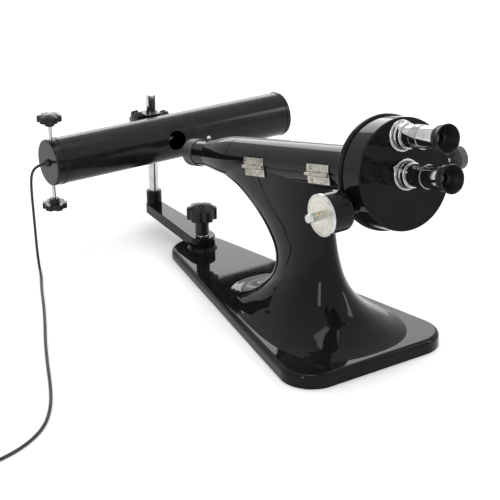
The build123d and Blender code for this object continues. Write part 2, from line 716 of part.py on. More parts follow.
def drive_bearings():
    """Two cast lugs that carry the worm shaft inside the head."""
    height = DRIVE_SHAFT_RADIUS + 3.5
    lugs = Part()
    for side in (-1, 1):
        centre = side * DRIVE_BEARING_X
        depth = CIRCLE_LOW - 1.0 - BACK_PLATE_THICKNESS + 1
        lugs += Pos(centre, -DRIVE_DROP, BACK_PLATE_THICKNESS - 1 + depth / 2) * Box(
            DRIVE_BEARING_WIDTH, 2 * height, depth)
    return lugs


def back_plate():
    thick = BACK_PLATE_THICKNESS
    plate = turned(
        [(BEAM_BORE_RADIUS, 0), (BACK_PLATE_RADIUS, 0), (BACK_PLATE_RADIUS, thick),
         (REGISTER_RADIUS, thick), (REGISTER_RADIUS, REGISTER_TOP),
         (REGISTER_RADIUS - REGISTER_WIDTH, REGISTER_TOP),
         (REGISTER_RADIUS - REGISTER_WIDTH, thick), (BEARING_BOSS_RADIUS, thick),
         (BEARING_BOSS_RADIUS, WHEEL_LOW - AXIAL_GAP), (BEAM_BORE_RADIUS, WHEEL_LOW - AXIAL_GAP)],
        [((BACK_PLATE_RADIUS, 0), BACK_PLATE_BEAD), ((BACK_PLATE_RADIUS, thick), BACK_PLATE_BEAD)],
    )
    plate -= rod(BEARING_RADIUS + RUNNING_CLEARANCE, 1.0, WHEEL_LOW + 1)
    plate += drive_bearings()
    plate -= across_at(DRIVE_POSITION, DRIVE_DROP, rod(DRIVE_SHAFT_RADIUS + RUNNING_CLEARANCE,
                                                       -BACK_PLATE_RADIUS, CIRCLE_RADIUS))
    plate -= across_at(DRIVE_POSITION, DRIVE_DROP,
                       rod(DRIVE_NECK_RADIUS, -2 * DRUM_RADIUS, DRIVE_NECK_END))
    return on_axis(plate)


def eyepiece_places():
    return (Pos(0, 0, 0), Pos(0, UPPER_EYEPIECE_RISE, 0))


def flange_screw_place(depth):
    turn = math.radians(FLANGE_SCREW_ANGLE)
    reach = FLANGE_RADIUS + 1.6
    return Pos(reach * math.cos(turn), reach * math.sin(turn), depth)


def drum_cover():
    front = DRUM_DEPTH
    inner = DRUM_RADIUS - DRUM_WALL
    cover = turned(
        [(0, front - DRUM_WALL), (inner, front - DRUM_WALL), (inner, BACK_PLATE_THICKNESS),
         (DRUM_RADIUS, BACK_PLATE_THICKNESS), (DRUM_RADIUS, front), (0, front)],
        [((DRUM_RADIUS, front), DRUM_EDGE_RADIUS)],
    )
    boss = rod(LOCK_BOSS_RADIUS, inner - 1.5, DRUM_RADIUS + LOCK_BOSS_REACH)
    cover += across_at(LOCK_POSITION, 0, boss)
    cover -= across_at(LOCK_POSITION, 0, rod(LOCK_SHAFT_RADIUS + RUNNING_CLEARANCE,
                                             CIRCLE_RADIUS, 2 * DRUM_RADIUS))
    for place in eyepiece_places():
        cover -= place * rod(FLANGE_SPIGOT_RADIUS, front - 2 * DRUM_WALL, front + 1)
    cover -= flange_screw_place(0) * rod(FLANGE_SCREW_SHANK, front - 2 * DRUM_WALL, front + 1)
    neck = rod(DRIVE_NECK_RADIUS, -2 * DRUM_RADIUS, DRIVE_NECK_END)
    return on_axis(cover - across_at(DRIVE_POSITION, DRIVE_DROP, neck))


def eyepiece_flanges():
    low = DRUM_DEPTH
    flat = low + FLANGE_THICKNESS
    top = low + FLANGE_LENGTH
    bore = EYETUBE_RADIUS + RUNNING_CLEARANCE
    flange = turned(
        [(bore, low - 5), (FLANGE_SPIGOT_RADIUS, low - 5), (FLANGE_SPIGOT_RADIUS, low),
         (FLANGE_RADIUS, low), (FLANGE_RADIUS, flat), (FLANGE_CONE_RADIUS, flat),
         (FLANGE_CONE_RADIUS - 0.4, flat + 3), (FLANGE_NECK_RADIUS, flat + 5),
         (FLANGE_NECK_RADIUS, top), (bore, top)],
        [((FLANGE_RADIUS, flat), 1.0), ((FLANGE_NECK_RADIUS, top), 0.8)],
    )
    return on_axis(Part() + [place * flange for place in eyepiece_places()])


def flange_screw():
    inside = DRUM_DEPTH - DRUM_WALL
    low = DRUM_DEPTH + FLANGE_THICKNESS
    top = low + FLANGE_SCREW_HEIGHT
    screw = turned([(0, inside), (FLANGE_SCREW_SHANK, inside), (FLANGE_SCREW_SHANK, low),
                    (FLANGE_SCREW_RADIUS, low), (FLANGE_SCREW_RADIUS, top), (0, top)],
                   [((FLANGE_SCREW_RADIUS, top), 0.6)])
    screw -= Pos(0, 0, top) * Box(FLANGE_SCREW_SLOT, 4 * FLANGE_SCREW_RADIUS, 2 * FLANGE_SCREW_SLOT)
    return on_axis(flange_screw_place(0) * screw)


def vernier_plate():
    outer = REGISTER_RADIUS - REGISTER_WIDTH
    arc = ring(outer, CIRCLE_RADIUS + VERNIER_GAP, BACK_PLATE_THICKNESS, CIRCLE_HIGH)
    reach = outer * math.tan(math.radians(VERNIER_ARC / 2))
    far = 2 * outer
    wedge = extrude(make_face(Polyline((0, 0), (reach, outer), (reach, far), (-reach, far),
                                       (-reach, outer), close=True)), far)
    return on_axis(arc & wedge)


# Analyser with its divided circle and worm wheel

def analyser_tube():
    return on_axis(turned([
        (ANALYSER_BORE, 1 + AXIAL_GAP), (BEARING_RADIUS, 1 + AXIAL_GAP),
        (BEARING_RADIUS, WHEEL_HIGH), (BEARING_RADIUS + 3, WHEEL_HIGH),
        (BEARING_RADIUS + 3, CIRCLE_LOW), (BEARING_RADIUS - 1, CIRCLE_LOW),
        (BEARING_RADIUS - 1, CIRCLE_HIGH), (ANALYSER_TUBE_RADIUS, CIRCLE_HIGH),
        (ANALYSER_TUBE_RADIUS, ANALYSER_LENGTH), (ANALYSER_BORE, ANALYSER_LENGTH),
    ]))


def worm_wheel():
    points = []
    pitch = 2 * math.pi / WHEEL_TEETH
    for tooth in range(WHEEL_TEETH):
        for share, radius in ((-0.32, WHEEL_RADIUS - TOOTH_DEPTH), (-0.14, WHEEL_RADIUS),
                              (0.14, WHEEL_RADIUS), (0.32, WHEEL_RADIUS - TOOTH_DEPTH)):
            turn = pitch * (tooth + share)
            points.append((radius * math.cos(turn), radius * math.sin(turn)))
    wheel = extrude(make_face(Polyline(*points, close=True)), WHEEL_THICKNESS)
    return on_axis(Pos(0, 0, WHEEL_LOW) * (wheel - rod(BEARING_RADIUS, -1, WHEEL_THICKNESS + 1)))


def divided_circle():
    return on_axis(ring(CIRCLE_RADIUS, BEARING_RADIUS - 1, CIRCLE_LOW, CIRCLE_HIGH))


def analyser_prism():
    side = ANALYSER_BORE * math.sqrt(2)
    low = 1 + AXIAL_GAP
    return on_axis(Pos(0, 0, (low + ANALYSER_LENGTH) / 2) * Box(side, side, ANALYSER_LENGTH - low))


# Fine drive: dial, stub and worm shaft turn together inside the housing

DIAL_RIGHT = DRIVE_HOUSING_LEFT - DIAL_GAP
DIAL_LEFT = DIAL_RIGHT - DIAL_THICKNESS
HUB_END = DIAL_RIGHT + DIAL_HUB_LENGTH
SET_SCREW_X = DIAL_LEFT - SET_SCREW_INSET


def drive_housing():
    cup_floor = DRIVE_HOUSING_RIGHT - DRIVE_HOUSING_FLOOR
    bore = DRIVE_SHAFT_RADIUS + RUNNING_CLEARANCE
    housing = turned(
        [(DRIVE_HOUSING_BORE, DRIVE_HOUSING_LEFT), (DRIVE_HOUSING_RADIUS, DRIVE_HOUSING_LEFT),
         (DRIVE_HOUSING_RADIUS, DRIVE_HOUSING_RIGHT), (DRIVE_NECK_RADIUS, DRIVE_HOUSING_RIGHT),
         (DRIVE_NECK_RADIUS, DRIVE_NECK_END), (bore, DRIVE_NECK_END), (bore, cup_floor),
         (DRIVE_HOUSING_BORE, cup_floor)],
        [((DRIVE_HOUSING_RADIUS, DRIVE_HOUSING_RIGHT), DRIVE_HOUSING_SHOULDER)],
    )
    return on_axis(across_at(DRIVE_POSITION, DRIVE_DROP, housing))


def worm_shaft():
    half = WORM_LENGTH / 2
    start = DIAL_LEFT + 0.8
    profile = [(0, start), (DRIVE_SHAFT_RADIUS, start), (DRIVE_SHAFT_RADIUS, -half)]
    turns = int(WORM_LENGTH / WORM_PITCH)
    for number in range(turns):
        low = -half + number * WORM_PITCH
        profile += [(WORM_RADIUS - TOOTH_DEPTH, low), (WORM_RADIUS, low + WORM_PITCH * 0.35),
                    (WORM_RADIUS, low + WORM_PITCH * 0.65)]
    profile += [(WORM_RADIUS - TOOTH_DEPTH, half), (DRIVE_SHAFT_RADIUS, half),
                (DRIVE_SHAFT_RADIUS, DRIVE_SHAFT_END), (0, DRIVE_SHAFT_END)]
    return on_axis(across_at(DRIVE_POSITION, DRIVE_DROP, turned(profile)))


def drive_dial():
    dial = turned(
        [(DRIVE_SHAFT_RADIUS, DIAL_LEFT), (DIAL_RADIUS - 1.6, DIAL_LEFT),
         (DIAL_RADIUS - 1.4, DIAL_LEFT - 0.5), (DIAL_RADIUS, DIAL_LEFT - 0.5),
         (DIAL_RADIUS, DIAL_RIGHT), (DIAL_HUB_RADIUS, DIAL_RIGHT), (DIAL_HUB_RADIUS, HUB_END),
         (DRIVE_SHAFT_RADIUS, HUB_END)],
        [((DIAL_RADIUS, DIAL_RIGHT), 0.6)],
    )
    return on_axis(across_at(DRIVE_POSITION, DRIVE_DROP, dial))


def set_screw_cut(start, stop):
    """Radial cylinder in the stub, on the side that faces the observer and up."""
    aim = Rot(SET_SCREW_AIM, 0, 0) * rod(SET_SCREW_RADIUS, start, stop)
    return Pos(SET_SCREW_X, 0, 0) * aim


def drive_stub():
    stub = turned(
        [(0, DIAL_LEFT - STUB_LENGTH), (STUB_RADIUS, DIAL_LEFT - STUB_LENGTH),
         (STUB_RADIUS, DIAL_LEFT), (0, DIAL_LEFT)],
        [((STUB_RADIUS, DIAL_LEFT - STUB_LENGTH), 0.8)],
    )
    body = lying(stub) - set_screw_cut(STUB_RADIUS - SET_SCREW_DEPTH, STUB_RADIUS + 1)
    return on_axis(Pos(0, -DRIVE_DROP, DRIVE_POSITION) * body)


def stub_screw():
    screw = set_screw_cut(STUB_RADIUS - SET_SCREW_DEPTH, STUB_RADIUS + 0.5)
    return on_axis(Pos(0, -DRIVE_DROP, DRIVE_POSITION) * screw)


# Circle lock

def lock_screw():
    tip = CIRCLE_RADIUS + LOCK_TIP_GAP
    shaft = rod(LOCK_SHAFT_RADIUS, tip, LOCK_KNOB_X + LOCK_KNOB_THICKNESS * 0.6)
    return on_axis(across_at(LOCK_POSITION, 0, shaft))


def lock_knob():
    low = LOCK_KNOB_X
    high = LOCK_KNOB_X + LOCK_KNOB_THICKNESS
    knob = turned(
        [(0, low), (LOCK_KNOB_RADIUS * 0.6, low), (LOCK_KNOB_RADIUS, low + 2.5),
         (LOCK_KNOB_RADIUS, high), (0, high)],
        [((LOCK_KNOB_RADIUS, high), 1.5)],
    )
    knob -= rod(LOCK_SHAFT_RADIUS, low - 1, low + LOCK_KNOB_THICKNESS * 0.6)
    return on_axis(across_at(LOCK_POSITION, 0, knob))


# Eyepieces: each slides in its flange for focus

def eyetube(place):
    tube = turned([
        (EYETUBE_BORE, EYETUBE_START), (EYETUBE_RADIUS, EYETUBE_START),
        (EYETUBE_RADIUS, GRIP_START), (GRIP_RADIUS, GRIP_START), (GRIP_RADIUS, GRIP_END),
        (EYETUBE_RADIUS, GRIP_END), (EYETUBE_RADIUS, EYECUP_START),
        (EYECUP_SPIGOT_RADIUS, EYECUP_START), (EYECUP_SPIGOT_RADIUS, EYETUBE_END),
        (EYE_LENS_RADIUS, EYETUBE_END), (EYE_LENS_RADIUS, EYETUBE_END - EYE_LENS_EDGE),
        (EYE_LENS_RADIUS - 1.2, EYETUBE_END - EYE_LENS_EDGE),
        (EYE_LENS_RADIUS - 1.2, EYETUBE_END - EYE_LENS_EDGE - 2),
        (EYETUBE_BORE, EYETUBE_END - EYE_LENS_EDGE - 4),
    ])
    return on_axis(place * tube)


def eye_lens(place):
    edge = EYETUBE_END - EYE_LENS_EDGE
    lens = turned([(0, edge), (EYE_LENS_RADIUS, edge), (EYE_LENS_RADIUS, EYETUBE_END),
                   (EYE_APERTURE_RADIUS - 0.3, EYETUBE_END),
                   (EYE_APERTURE_RADIUS * 0.5, EYETUBE_END + 0.7), (0, EYETUBE_END + 0.9)])
    return on_axis(place * lens)


def eyecup(place):
    ring_end = EYECUP_START + EYECUP_RING_LENGTH
    web = EYETUBE_END + 2
    cup = turned([
        (EYECUP_SPIGOT_RADIUS, EYECUP_START), (EYECUP_RING_RADIUS, EYECUP_START),
        (EYECUP_RING_RADIUS, ring_end), (EYECUP_RING_RADIUS - 0.5, ring_end + 0.6),
        (EYECUP_RADIUS - 0.3, EYECUP_END - 4), (EYECUP_RADIUS, EYECUP_END),
        (EYECUP_RADIUS - 1.3, EYECUP_END), (EYE_APERTURE_RADIUS + 1.5, web + 1.5),
        (EYE_APERTURE_RADIUS, web), (EYE_APERTURE_RADIUS, EYETUBE_END),
        (EYECUP_SPIGOT_RADIUS, EYETUBE_END),
    ])
    return on_axis(place * cup)


# Arm, rod and clamp

def arm():
    ends = (Pos(0, CLAMP_Y) * Circle(TOE_BOSS_TOP_RADIUS), Pos(ROD_X, ROD_Y) * Circle(ARM_END_RADIUS))
    outline = make_hull([edge for end in ends for edge in end.edges()])
    bar = Pos(0, 0, BOSS_TOP) * extrude(outline, ARM_THICKNESS)
    bar = fillet(bar.faces().sort_by(Axis.Z)[-1].edges(), ARM_EDGE_RADIUS)
    bar -= Pos(0, CLAMP_Y, 0) * rod(STUD_RADIUS + RUNNING_CLEARANCE, BOSS_TOP - 1, ARM_TOP + 1)
    return bar - Pos(ROD_X, ROD_Y, 0) * rod(ROD_RADIUS, ARM_TOP - ROD_SEAT, ARM_TOP + 1)


def rod_collar():
    collar = turned(
        [(ROD_RADIUS, ARM_TOP), (COLLAR_RADIUS, ARM_TOP), (COLLAR_RADIUS, COLLAR_TOP - 7),
         (COLLAR_RADIUS - 0.9, COLLAR_TOP - 6.4), (COLLAR_RADIUS - 0.9, COLLAR_TOP - 5.6),
         (COLLAR_RADIUS, COLLAR_TOP - 5), (COLLAR_RADIUS, COLLAR_TOP), (ROD_RADIUS, COLLAR_TOP)],
        [((COLLAR_RADIUS, COLLAR_TOP), 1.2)],
    )
    return Pos(ROD_X, ROD_Y, 0) * collar


def lamp_rod():
    low = ARM_TOP - ROD_SEAT
    post = turned([(0, low), (ROD_RADIUS, low), (ROD_RADIUS, ROD_TOP), (0, ROD_TOP)],
                  [((ROD_RADIUS, ROD_TOP), 1.0)])
    return Pos(ROD_X, ROD_Y, 0) * post


def clamp_washer():
    low = ARM_TOP
    return Pos(0, CLAMP_Y, 0) * ring(CLAMP_WASHER_RADIUS, STUD_RADIUS, low,
                                     low + CLAMP_WASHER_THICKNESS)


def clamp_stud():
    low = BOSS_TOP - STUD_DEPTH + 1
    high = ARM_TOP + CLAMP_WASHER_THICKNESS + STUD_REACH
    return Pos(0, CLAMP_Y, 0) * rod(STUD_RADIUS, low, high)


def clamp_knob():
    knob = star_knob(CLAMP_KNOB_DIAMETER, CLAMP_KNOB_HEIGHT, CLAMP_KNOB_NECK,
                     CLAMP_KNOB_NECK_RADIUS, 1)
    foot = ARM_TOP + CLAMP_WASHER_THICKNESS
    knob -= rod(STUD_RADIUS, -1, STUD_REACH)
    return Pos(0, CLAMP_Y, foot) * knob


# Lamp carriage on the rod

SADDLE_LUG_LEFT = BLOCK_RIGHT + SADDLE_GAP
SADDLE_LUG_RIGHT = SADDLE_LUG_LEFT + SADDLE_LUG_THICKNESS
PIVOT_Y = ROD_Y
PIVOT_Z = BLOCK_BOTTOM + BLOCK_HEIGHT / 2 - TILT_BOLT_DROP


def rod_block():
    height = BLOCK_HEIGHT
    width = BLOCK_RIGHT - BLOCK_LEFT
    depth = BLOCK_BACK - BLOCK_FRONT
    block = Pos((BLOCK_LEFT + BLOCK_RIGHT) / 2, (BLOCK_FRONT + BLOCK_BACK) / 2,
                BLOCK_BOTTOM + height / 2) * Box(width, depth, height)
    block = fillet(block.edges().filter_by(Axis.Z), BLOCK_EDGE_RADIUS)
    block -= Pos(ROD_X, ROD_Y, 0) * rod(ROD_RADIUS + RUNNING_CLEARANCE, 0, 2 * ROD_TOP)
    screw = rod(ROD_SCREW_RADIUS + RUNNING_CLEARANCE, 2 * BLOCK_LEFT, ROD_X)
    block -= Pos(0, ROD_Y, ROD_KNOB_Z) * lying(screw)
    return block - Pos(0, PIVOT_Y, PIVOT_Z) * lying(rod(TILT_BOLT_RADIUS + RUNNING_CLEARANCE,
                                                       BLOCK_RIGHT - TILT_BOLT_DEPTH - 0.5,
                                                       2 * BLOCK_RIGHT))


def side_knob(diameter, height, neck, thread, reach):
    """Star grip with its own screw, standing on Z = 0 with the screw below."""
    grip = star_knob(diameter, height, neck, diameter * 0.2, 1) + rod(thread, -reach, neck + 2)
    return grip


def rod_knob():
    reach = BLOCK_LEFT * -1 - (ROD_RADIUS - ROD_X) - 0.3
    knob = side_knob(ROD_KNOB_DIAMETER, ROD_KNOB_HEIGHT, ROD_KNOB_NECK, ROD_SCREW_RADIUS, reach)
    turn = Rot(0, -90, 0) * knob
    return Pos(BLOCK_LEFT - 0.3, ROD_Y, ROD_KNOB_Z) * turn


def tilt_knob():
    reach = SADDLE_LUG_THICKNESS + SADDLE_GAP + TILT_BOLT_DEPTH
    knob = side_knob(TILT_KNOB_DIAMETER, TILT_KNOB_HEIGHT, TILT_KNOB_NECK, TILT_BOLT_RADIUS, reach)
    turn = Rot(0, 90, 0) * knob
    return Pos(SADDLE_LUG_RIGHT + 0.3, PIVOT_Y, PIVOT_Z) * turn


def lamp_saddle():
    """Curved plate on the lamp's back with a lug that hangs on the tilt bolt."""
    middle = (SADDLE_LUG_LEFT + SADDLE_LUG_RIGHT) / 2
    outer = LAMP_RADIUS + SADDLE_PLATE_THICKNESS
    plate = lying(ring(outer, LAMP_RADIUS, middle - SADDLE_HALF_LENGTH, SADDLE_LUG_RIGHT))
    reach = outer * math.sin(math.radians(SADDLE_ARC / 2))
    plate &= Pos(middle, outer, 0) * Box(3 * SADDLE_HALF_LENGTH, outer, 2 * reach)
    plate = Pos(0, LAMP_Y, LAMP_HEIGHT) * plate
    drop = PIVOT_Z - LAMP_HEIGHT
    web_front = LAMP_Y + LAMP_RADIUS + 0.6
    web = Pos(middle, (web_front + PIVOT_Y) / 2, PIVOT_Z - drop * 0.2) * Box(
        SADDLE_LUG_THICKNESS, PIVOT_Y - web_front, 2 * SADDLE_LUG_RADIUS)
    around = ring(3 * LAMP_RADIUS, LAMP_RADIUS + 0.4, -2 * LAMP_RADIUS, 2 * LAMP_RADIUS)
    web &= Pos(0, LAMP_Y, LAMP_HEIGHT) * lying(around)
    lug = Pos(0, PIVOT_Y, PIVOT_Z) * lying(rod(SADDLE_LUG_RADIUS, SADDLE_LUG_LEFT, SADDLE_LUG_RIGHT))
    hole = Pos(0, PIVOT_Y, PIVOT_Z) * lying(rod(TILT_BOLT_RADIUS + RUNNING_CLEARANCE, 0,
                                                       2 * SADDLE_LUG_RIGHT))
    return plate + web + lug - hole


# Lamp

CAP_RIGHT = LAMP_LEFT + LAMP_CAP_SKIRT
TUBE_RIGHT = LAMP_RIGHT - FAR_CAP_LENGTH


def at_lamp(shape):
    return Pos(0, LAMP_Y, LAMP_HEIGHT) * lying(shape)


def lamp_tube():
    bead_end = CAP_RIGHT + LAMP_BEAD_WIDTH
    far_bead = TUBE_RIGHT - LAMP_BEAD_WIDTH
    bead = LAMP_RADIUS + LAMP_BEAD
    inner = LAMP_RADIUS - LAMP_WALL
    tube = turned([(inner, CAP_RIGHT), (bead, CAP_RIGHT), (bead, bead_end),
                   (LAMP_RADIUS, bead_end), (LAMP_RADIUS, far_bead), (bead, far_bead),
                   (bead, TUBE_RIGHT), (inner, TUBE_RIGHT)])
    aim = Rot(90 - LIGHT_HOLE_TILT, 0, 0) * rod(LIGHT_HOLE_RADIUS, 0, 2 * LAMP_RADIUS)
    return at_lamp(tube) - Pos(0, LAMP_Y, LAMP_HEIGHT) * aim


def socket_cap():
    """Left end: cap with the lamp socket moulded on its inner face."""
    face = LAMP_LEFT + LAMP_CAP_FACE
    inner = LAMP_RADIUS - LAMP_WALL
    cap = turned(
        [(CORD_DIAMETER / 2, LAMP_LEFT), (LAMP_RADIUS, LAMP_LEFT), (LAMP_RADIUS, CAP_RIGHT),
         (inner, CAP_RIGHT), (inner, CAP_RIGHT + LAMP_PLUG_DEPTH),
         (SOCKET_RADIUS, CAP_RIGHT + LAMP_PLUG_DEPTH), (SOCKET_RADIUS, face + SOCKET_LENGTH),
         (BULB_BASE_RADIUS, face + SOCKET_LENGTH), (BULB_BASE_RADIUS, face + SOCKET_LENGTH - SOCKET_DEPTH),
         (CORD_DIAMETER / 2, face + SOCKET_LENGTH - SOCKET_DEPTH)],
        [((LAMP_RADIUS, LAMP_LEFT), 2.0)],
    )
    cap = at_lamp(cap)
    for side in (-1, 1):
        hole = rod(CAP_SCREW_RADIUS + RUNNING_CLEARANCE, LAMP_RADIUS - CAP_SCREW_SEAT - 0.5,
                   LAMP_RADIUS + 5)
        cap -= Pos(CAP_SCREW_X, LAMP_Y, LAMP_HEIGHT) * Rot(0 if side > 0 else 180, 0, 0) * hole
    return cap


def far_cap():
    inner = LAMP_RADIUS - LAMP_WALL
    return at_lamp(turned(
        [(0, TUBE_RIGHT - LAMP_PLUG_DEPTH), (inner, TUBE_RIGHT - LAMP_PLUG_DEPTH),
         (inner, TUBE_RIGHT), (LAMP_RADIUS, TUBE_RIGHT), (LAMP_RADIUS, LAMP_RIGHT),
         (0, LAMP_RIGHT)],
        [((LAMP_RADIUS, LAMP_RIGHT), 1.4)],
    ))


def sodium_bulb():
    base = LAMP_LEFT + LAMP_CAP_FACE + SOCKET_LENGTH - SOCKET_DEPTH
    neck = base + BULB_BASE_LENGTH
    end = base + BULB_LENGTH
    return at_lamp(turned(
        [(0, base), (BULB_BASE_RADIUS, base), (BULB_BASE_RADIUS, neck), (BULB_RADIUS, neck + 6),
         (BULB_RADIUS, end - 6), (BULB_RADIUS * 0.6, end - 1.5), (0, end)],
    ))


def cap_screw(side):
    low = LAMP_RADIUS - CAP_SCREW_SEAT
    shaft = rod(CAP_SCREW_RADIUS, low, low + CAP_SCREW_SEAT + CAP_SCREW_LENGTH + 4)
    return Pos(CAP_SCREW_X, LAMP_Y, LAMP_HEIGHT) * (Rot(0 if side > 0 else 180, 0, 0) * shaft)


def cap_knob(side):
    knob = star_knob(CAP_KNOB_DIAMETER, CAP_KNOB_HEIGHT, CAP_KNOB_NECK, CAP_KNOB_DIAMETER * 0.2, 1)
    knob -= rod(CAP_SCREW_RADIUS, -1, 4)
    knob = Pos(0, 0, LAMP_RADIUS + CAP_SCREW_LENGTH) * knob
    return Pos(CAP_SCREW_X, LAMP_Y, LAMP_HEIGHT) * (Rot(0 if side > 0 else 180, 0, 0) * knob)


# Cord

def cord_gland():
    end = LAMP_LEFT - GLAND_LENGTH
    return at_lamp(turned(
        [(CORD_DIAMETER / 2, end), (GLAND_RADIUS - 1.6, end), (GLAND_RADIUS, LAMP_LEFT - 1.5),
         (GLAND_RADIUS, LAMP_LEFT), (CORD_DIAMETER / 2, LAMP_LEFT)],
    ))


def cord_route():
    """Down from the gland's tip, then along the floor to the coil."""
    drop = [(LAMP_LEFT - GLAND_LENGTH - left, LAMP_Y - forward, LAMP_HEIGHT * share)
            for left, forward, share in CORD_DROP]
    return [*drop, *CORD_LAY]


def cord_radii(route):
    radii = []
    for before, here, after in zip(route, route[1:], route[2:]):
        first = Vector(*here) - Vector(*before)
        second = Vector(*after) - Vector(*here)
        half_turn = math.radians(first.get_angle(second)) / 2
        radii.append(0.45 * min(first.length, second.length) / math.tan(half_turn))
    return radii


def cord():
    route = cord_route()
    radii = cord_radii(route)
    path = FilletPolyline(*route, radius=radii)
    start = Plane(origin=path @ 0, z_dir=path % 0)
    tube = sweep(start * Circle(CORD_DIAMETER / 2), path=path)
    length = sum(edge.length for edge in path.edges())
    expected = math.pi * (CORD_DIAMETER / 2) ** 2 * length
    print("cord: shortest radius", round(min(radii), 1), "length", round(length, 1),
          "volume ratio", round(tube.volume / expected, 4))
    print("cord radii:", [round(radius, 1) for radius in radii])
    return tube


def cord_coil():
    return Pos(*COIL_CENTRE, COIL_THICKNESS / 2) * Torus(COIL_RADIUS, COIL_THICKNESS / 2)


def cord_plug():
    """Two-pin plug that lies on its flat side, where the cord leaves the coil's left edge."""
    height = PLUG_HEIGHT
    start = COIL_CENTRE[1] - COIL_LEAD
    body_start = start - PLUG_TAPER_LENGTH
    body = Pos(0, body_start - PLUG_LENGTH / 2, height / 2) * Box(PLUG_WIDTH, PLUG_LENGTH, height)
    body = fillet(body.edges(), PLUG_EDGE_RADIUS)
    sleeve = Pos(0, body_start - 1, COIL_THICKNESS / 2) * (
        Rot(-90, 0, 0) * turned([(0, 0), (PLUG_SLEEVE_RADIUS, 0),
                                 (CORD_DIAMETER / 2 + 0.6, PLUG_TAPER_LENGTH + 1),
                                 (0, PLUG_TAPER_LENGTH + 1)]))
    plug = body + sleeve
    for side in (-1, 1):
        pin = Rot(90, 0, 0) * rod(PLUG_PIN_RADIUS, -2, PLUG_PIN_LENGTH)
        plug += Pos(side * PLUG_PIN_SPACING / 2, body_start - PLUG_LENGTH, height / 2) * pin
    outermost = COIL_RADIUS + COIL_THICKNESS / 2 - CORD_DIAMETER / 2
    return Pos(COIL_CENTRE[0] - outermost, 0, 0) * plug


def all_pieces():
    lower, upper = eyepiece_places()
    return {
        "stand_casting": stand_casting(),
        "nose_cover": nose_cover(),
        "polariser_tube": polariser_tube(),
        "polariser_rim": polariser_rim(),
        "condenser_lens": condenser_lens(),
        "polariser_prism": polariser_prism(),
        "shade_ring": shade_ring(),
        "shade_lever": shade_lever(),
        "shade_plate": shade_plate(),
        "lid": lid(),
        "hinge_leaves_lower": hinge_leaves(True),
        "hinge_leaves_upper": hinge_leaves(False),
        "hinge_pins": hinge_pins(),
        "hinge_screws_lower": hinge_screws(-SCREW_REACH),
        "hinge_screws_upper": hinge_screws(SCREW_REACH),
        "back_plate": back_plate(),
        "drum_cover": drum_cover(),
        "eyepiece_flanges": eyepiece_flanges(),
        "flange_screw": flange_screw(),
        "vernier_plate": vernier_plate(),
        "analyser_tube": analyser_tube(),
        "worm_wheel": worm_wheel(),
        "divided_circle": divided_circle(),
        "analyser_prism": analyser_prism(),
        "drive_housing": drive_housing(),
        "worm_shaft": worm_shaft(),
        "drive_dial": drive_dial(),
        "drive_stub": drive_stub(),
        "stub_screw": stub_screw(),
        "lock_screw": lock_screw(),
        "lock_knob": lock_knob(),
        "lower_eyetube": eyetube(lower),
        "lower_eye_lens": eye_lens(lower),
        "lower_eyecup": eyecup(lower),
        "upper_eyetube": eyetube(upper),
        "upper_eye_lens": eye_lens(upper),
        "upper_eyecup": eyecup(upper),
        "arm": arm(),
        "rod_collar": rod_collar(),
        "lamp_rod": lamp_rod(),
        "clamp_washer": clamp_washer(),
        "clamp_stud": clamp_stud(),
        "clamp_knob": clamp_knob(),
        "rod_block": rod_block(),
        "rod_knob": rod_knob(),
        "tilt_knob": tilt_knob(),
        "lamp_saddle": lamp_saddle(),
        "lamp_tube": lamp_tube(),
        "socket_cap": socket_cap(),
        "far_cap": far_cap(),
        "sodium_bulb": sodium_bulb(),
        "cap_screw_upper": cap_screw(1),
        "cap_knob_upper": cap_knob(1),
        "cap_screw_lower": cap_screw(-1),
        "cap_knob_lower": cap_knob(-1),
        "cord_gland": cord_gland(),
        "cord": cord(),
        "cord_coil": cord_coil(),
        "cord_plug": cord_plug(),
    }


os.makedirs("parts", exist_ok=True)
for name, shape in all_pieces().items():
    print(name, len(shape.solids()), round(shape.volume, 1))
    export_step(shape, f"parts/{name}.step")
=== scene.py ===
import bpy
import math
from mathutils import Matrix, Vector


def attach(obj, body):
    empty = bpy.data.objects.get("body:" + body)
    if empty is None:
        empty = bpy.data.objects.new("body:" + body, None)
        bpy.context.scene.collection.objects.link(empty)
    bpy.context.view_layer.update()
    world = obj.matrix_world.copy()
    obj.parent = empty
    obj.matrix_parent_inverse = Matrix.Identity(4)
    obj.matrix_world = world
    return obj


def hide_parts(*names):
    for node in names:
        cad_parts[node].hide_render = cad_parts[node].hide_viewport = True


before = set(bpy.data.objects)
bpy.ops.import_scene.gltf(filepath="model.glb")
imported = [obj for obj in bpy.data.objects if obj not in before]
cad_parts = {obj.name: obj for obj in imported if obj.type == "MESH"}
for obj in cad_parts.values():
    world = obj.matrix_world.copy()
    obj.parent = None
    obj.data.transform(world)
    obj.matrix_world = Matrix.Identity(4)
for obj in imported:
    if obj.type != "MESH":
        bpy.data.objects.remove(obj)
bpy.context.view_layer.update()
mm = 0.001

# camera first

cameraSetup = {"place": (-0.8878, -1.3084, 0.7699), "lens": 101.98, "yaw": 33.03, "pitch": 23.83, "roll": -0.40}


def makeCamera():
    camera = bpy.data.objects.new("photoCamera", bpy.data.cameras.new("photoCamera"))
    bpy.context.scene.collection.objects.link(camera)
    camera.data.lens = cameraSetup["lens"]
    camera.data.sensor_width = 36.0
    camera.data.clip_end = 20.0
    turn = Matrix.Rotation(-math.radians(cameraSetup["yaw"]), 4, "Z")
    tip = Matrix.Rotation(math.radians(90 - cameraSetup["pitch"]), 4, "X")
    lean = Matrix.Rotation(math.radians(cameraSetup["roll"]), 4, "Z")
    camera.matrix_world = Matrix.Translation(cameraSetup["place"]) @ turn @ tip @ lean
    bpy.context.scene.camera = camera


# where the turned pieces sit: the tilted optical axis, the fine drive, the lock and the lamp

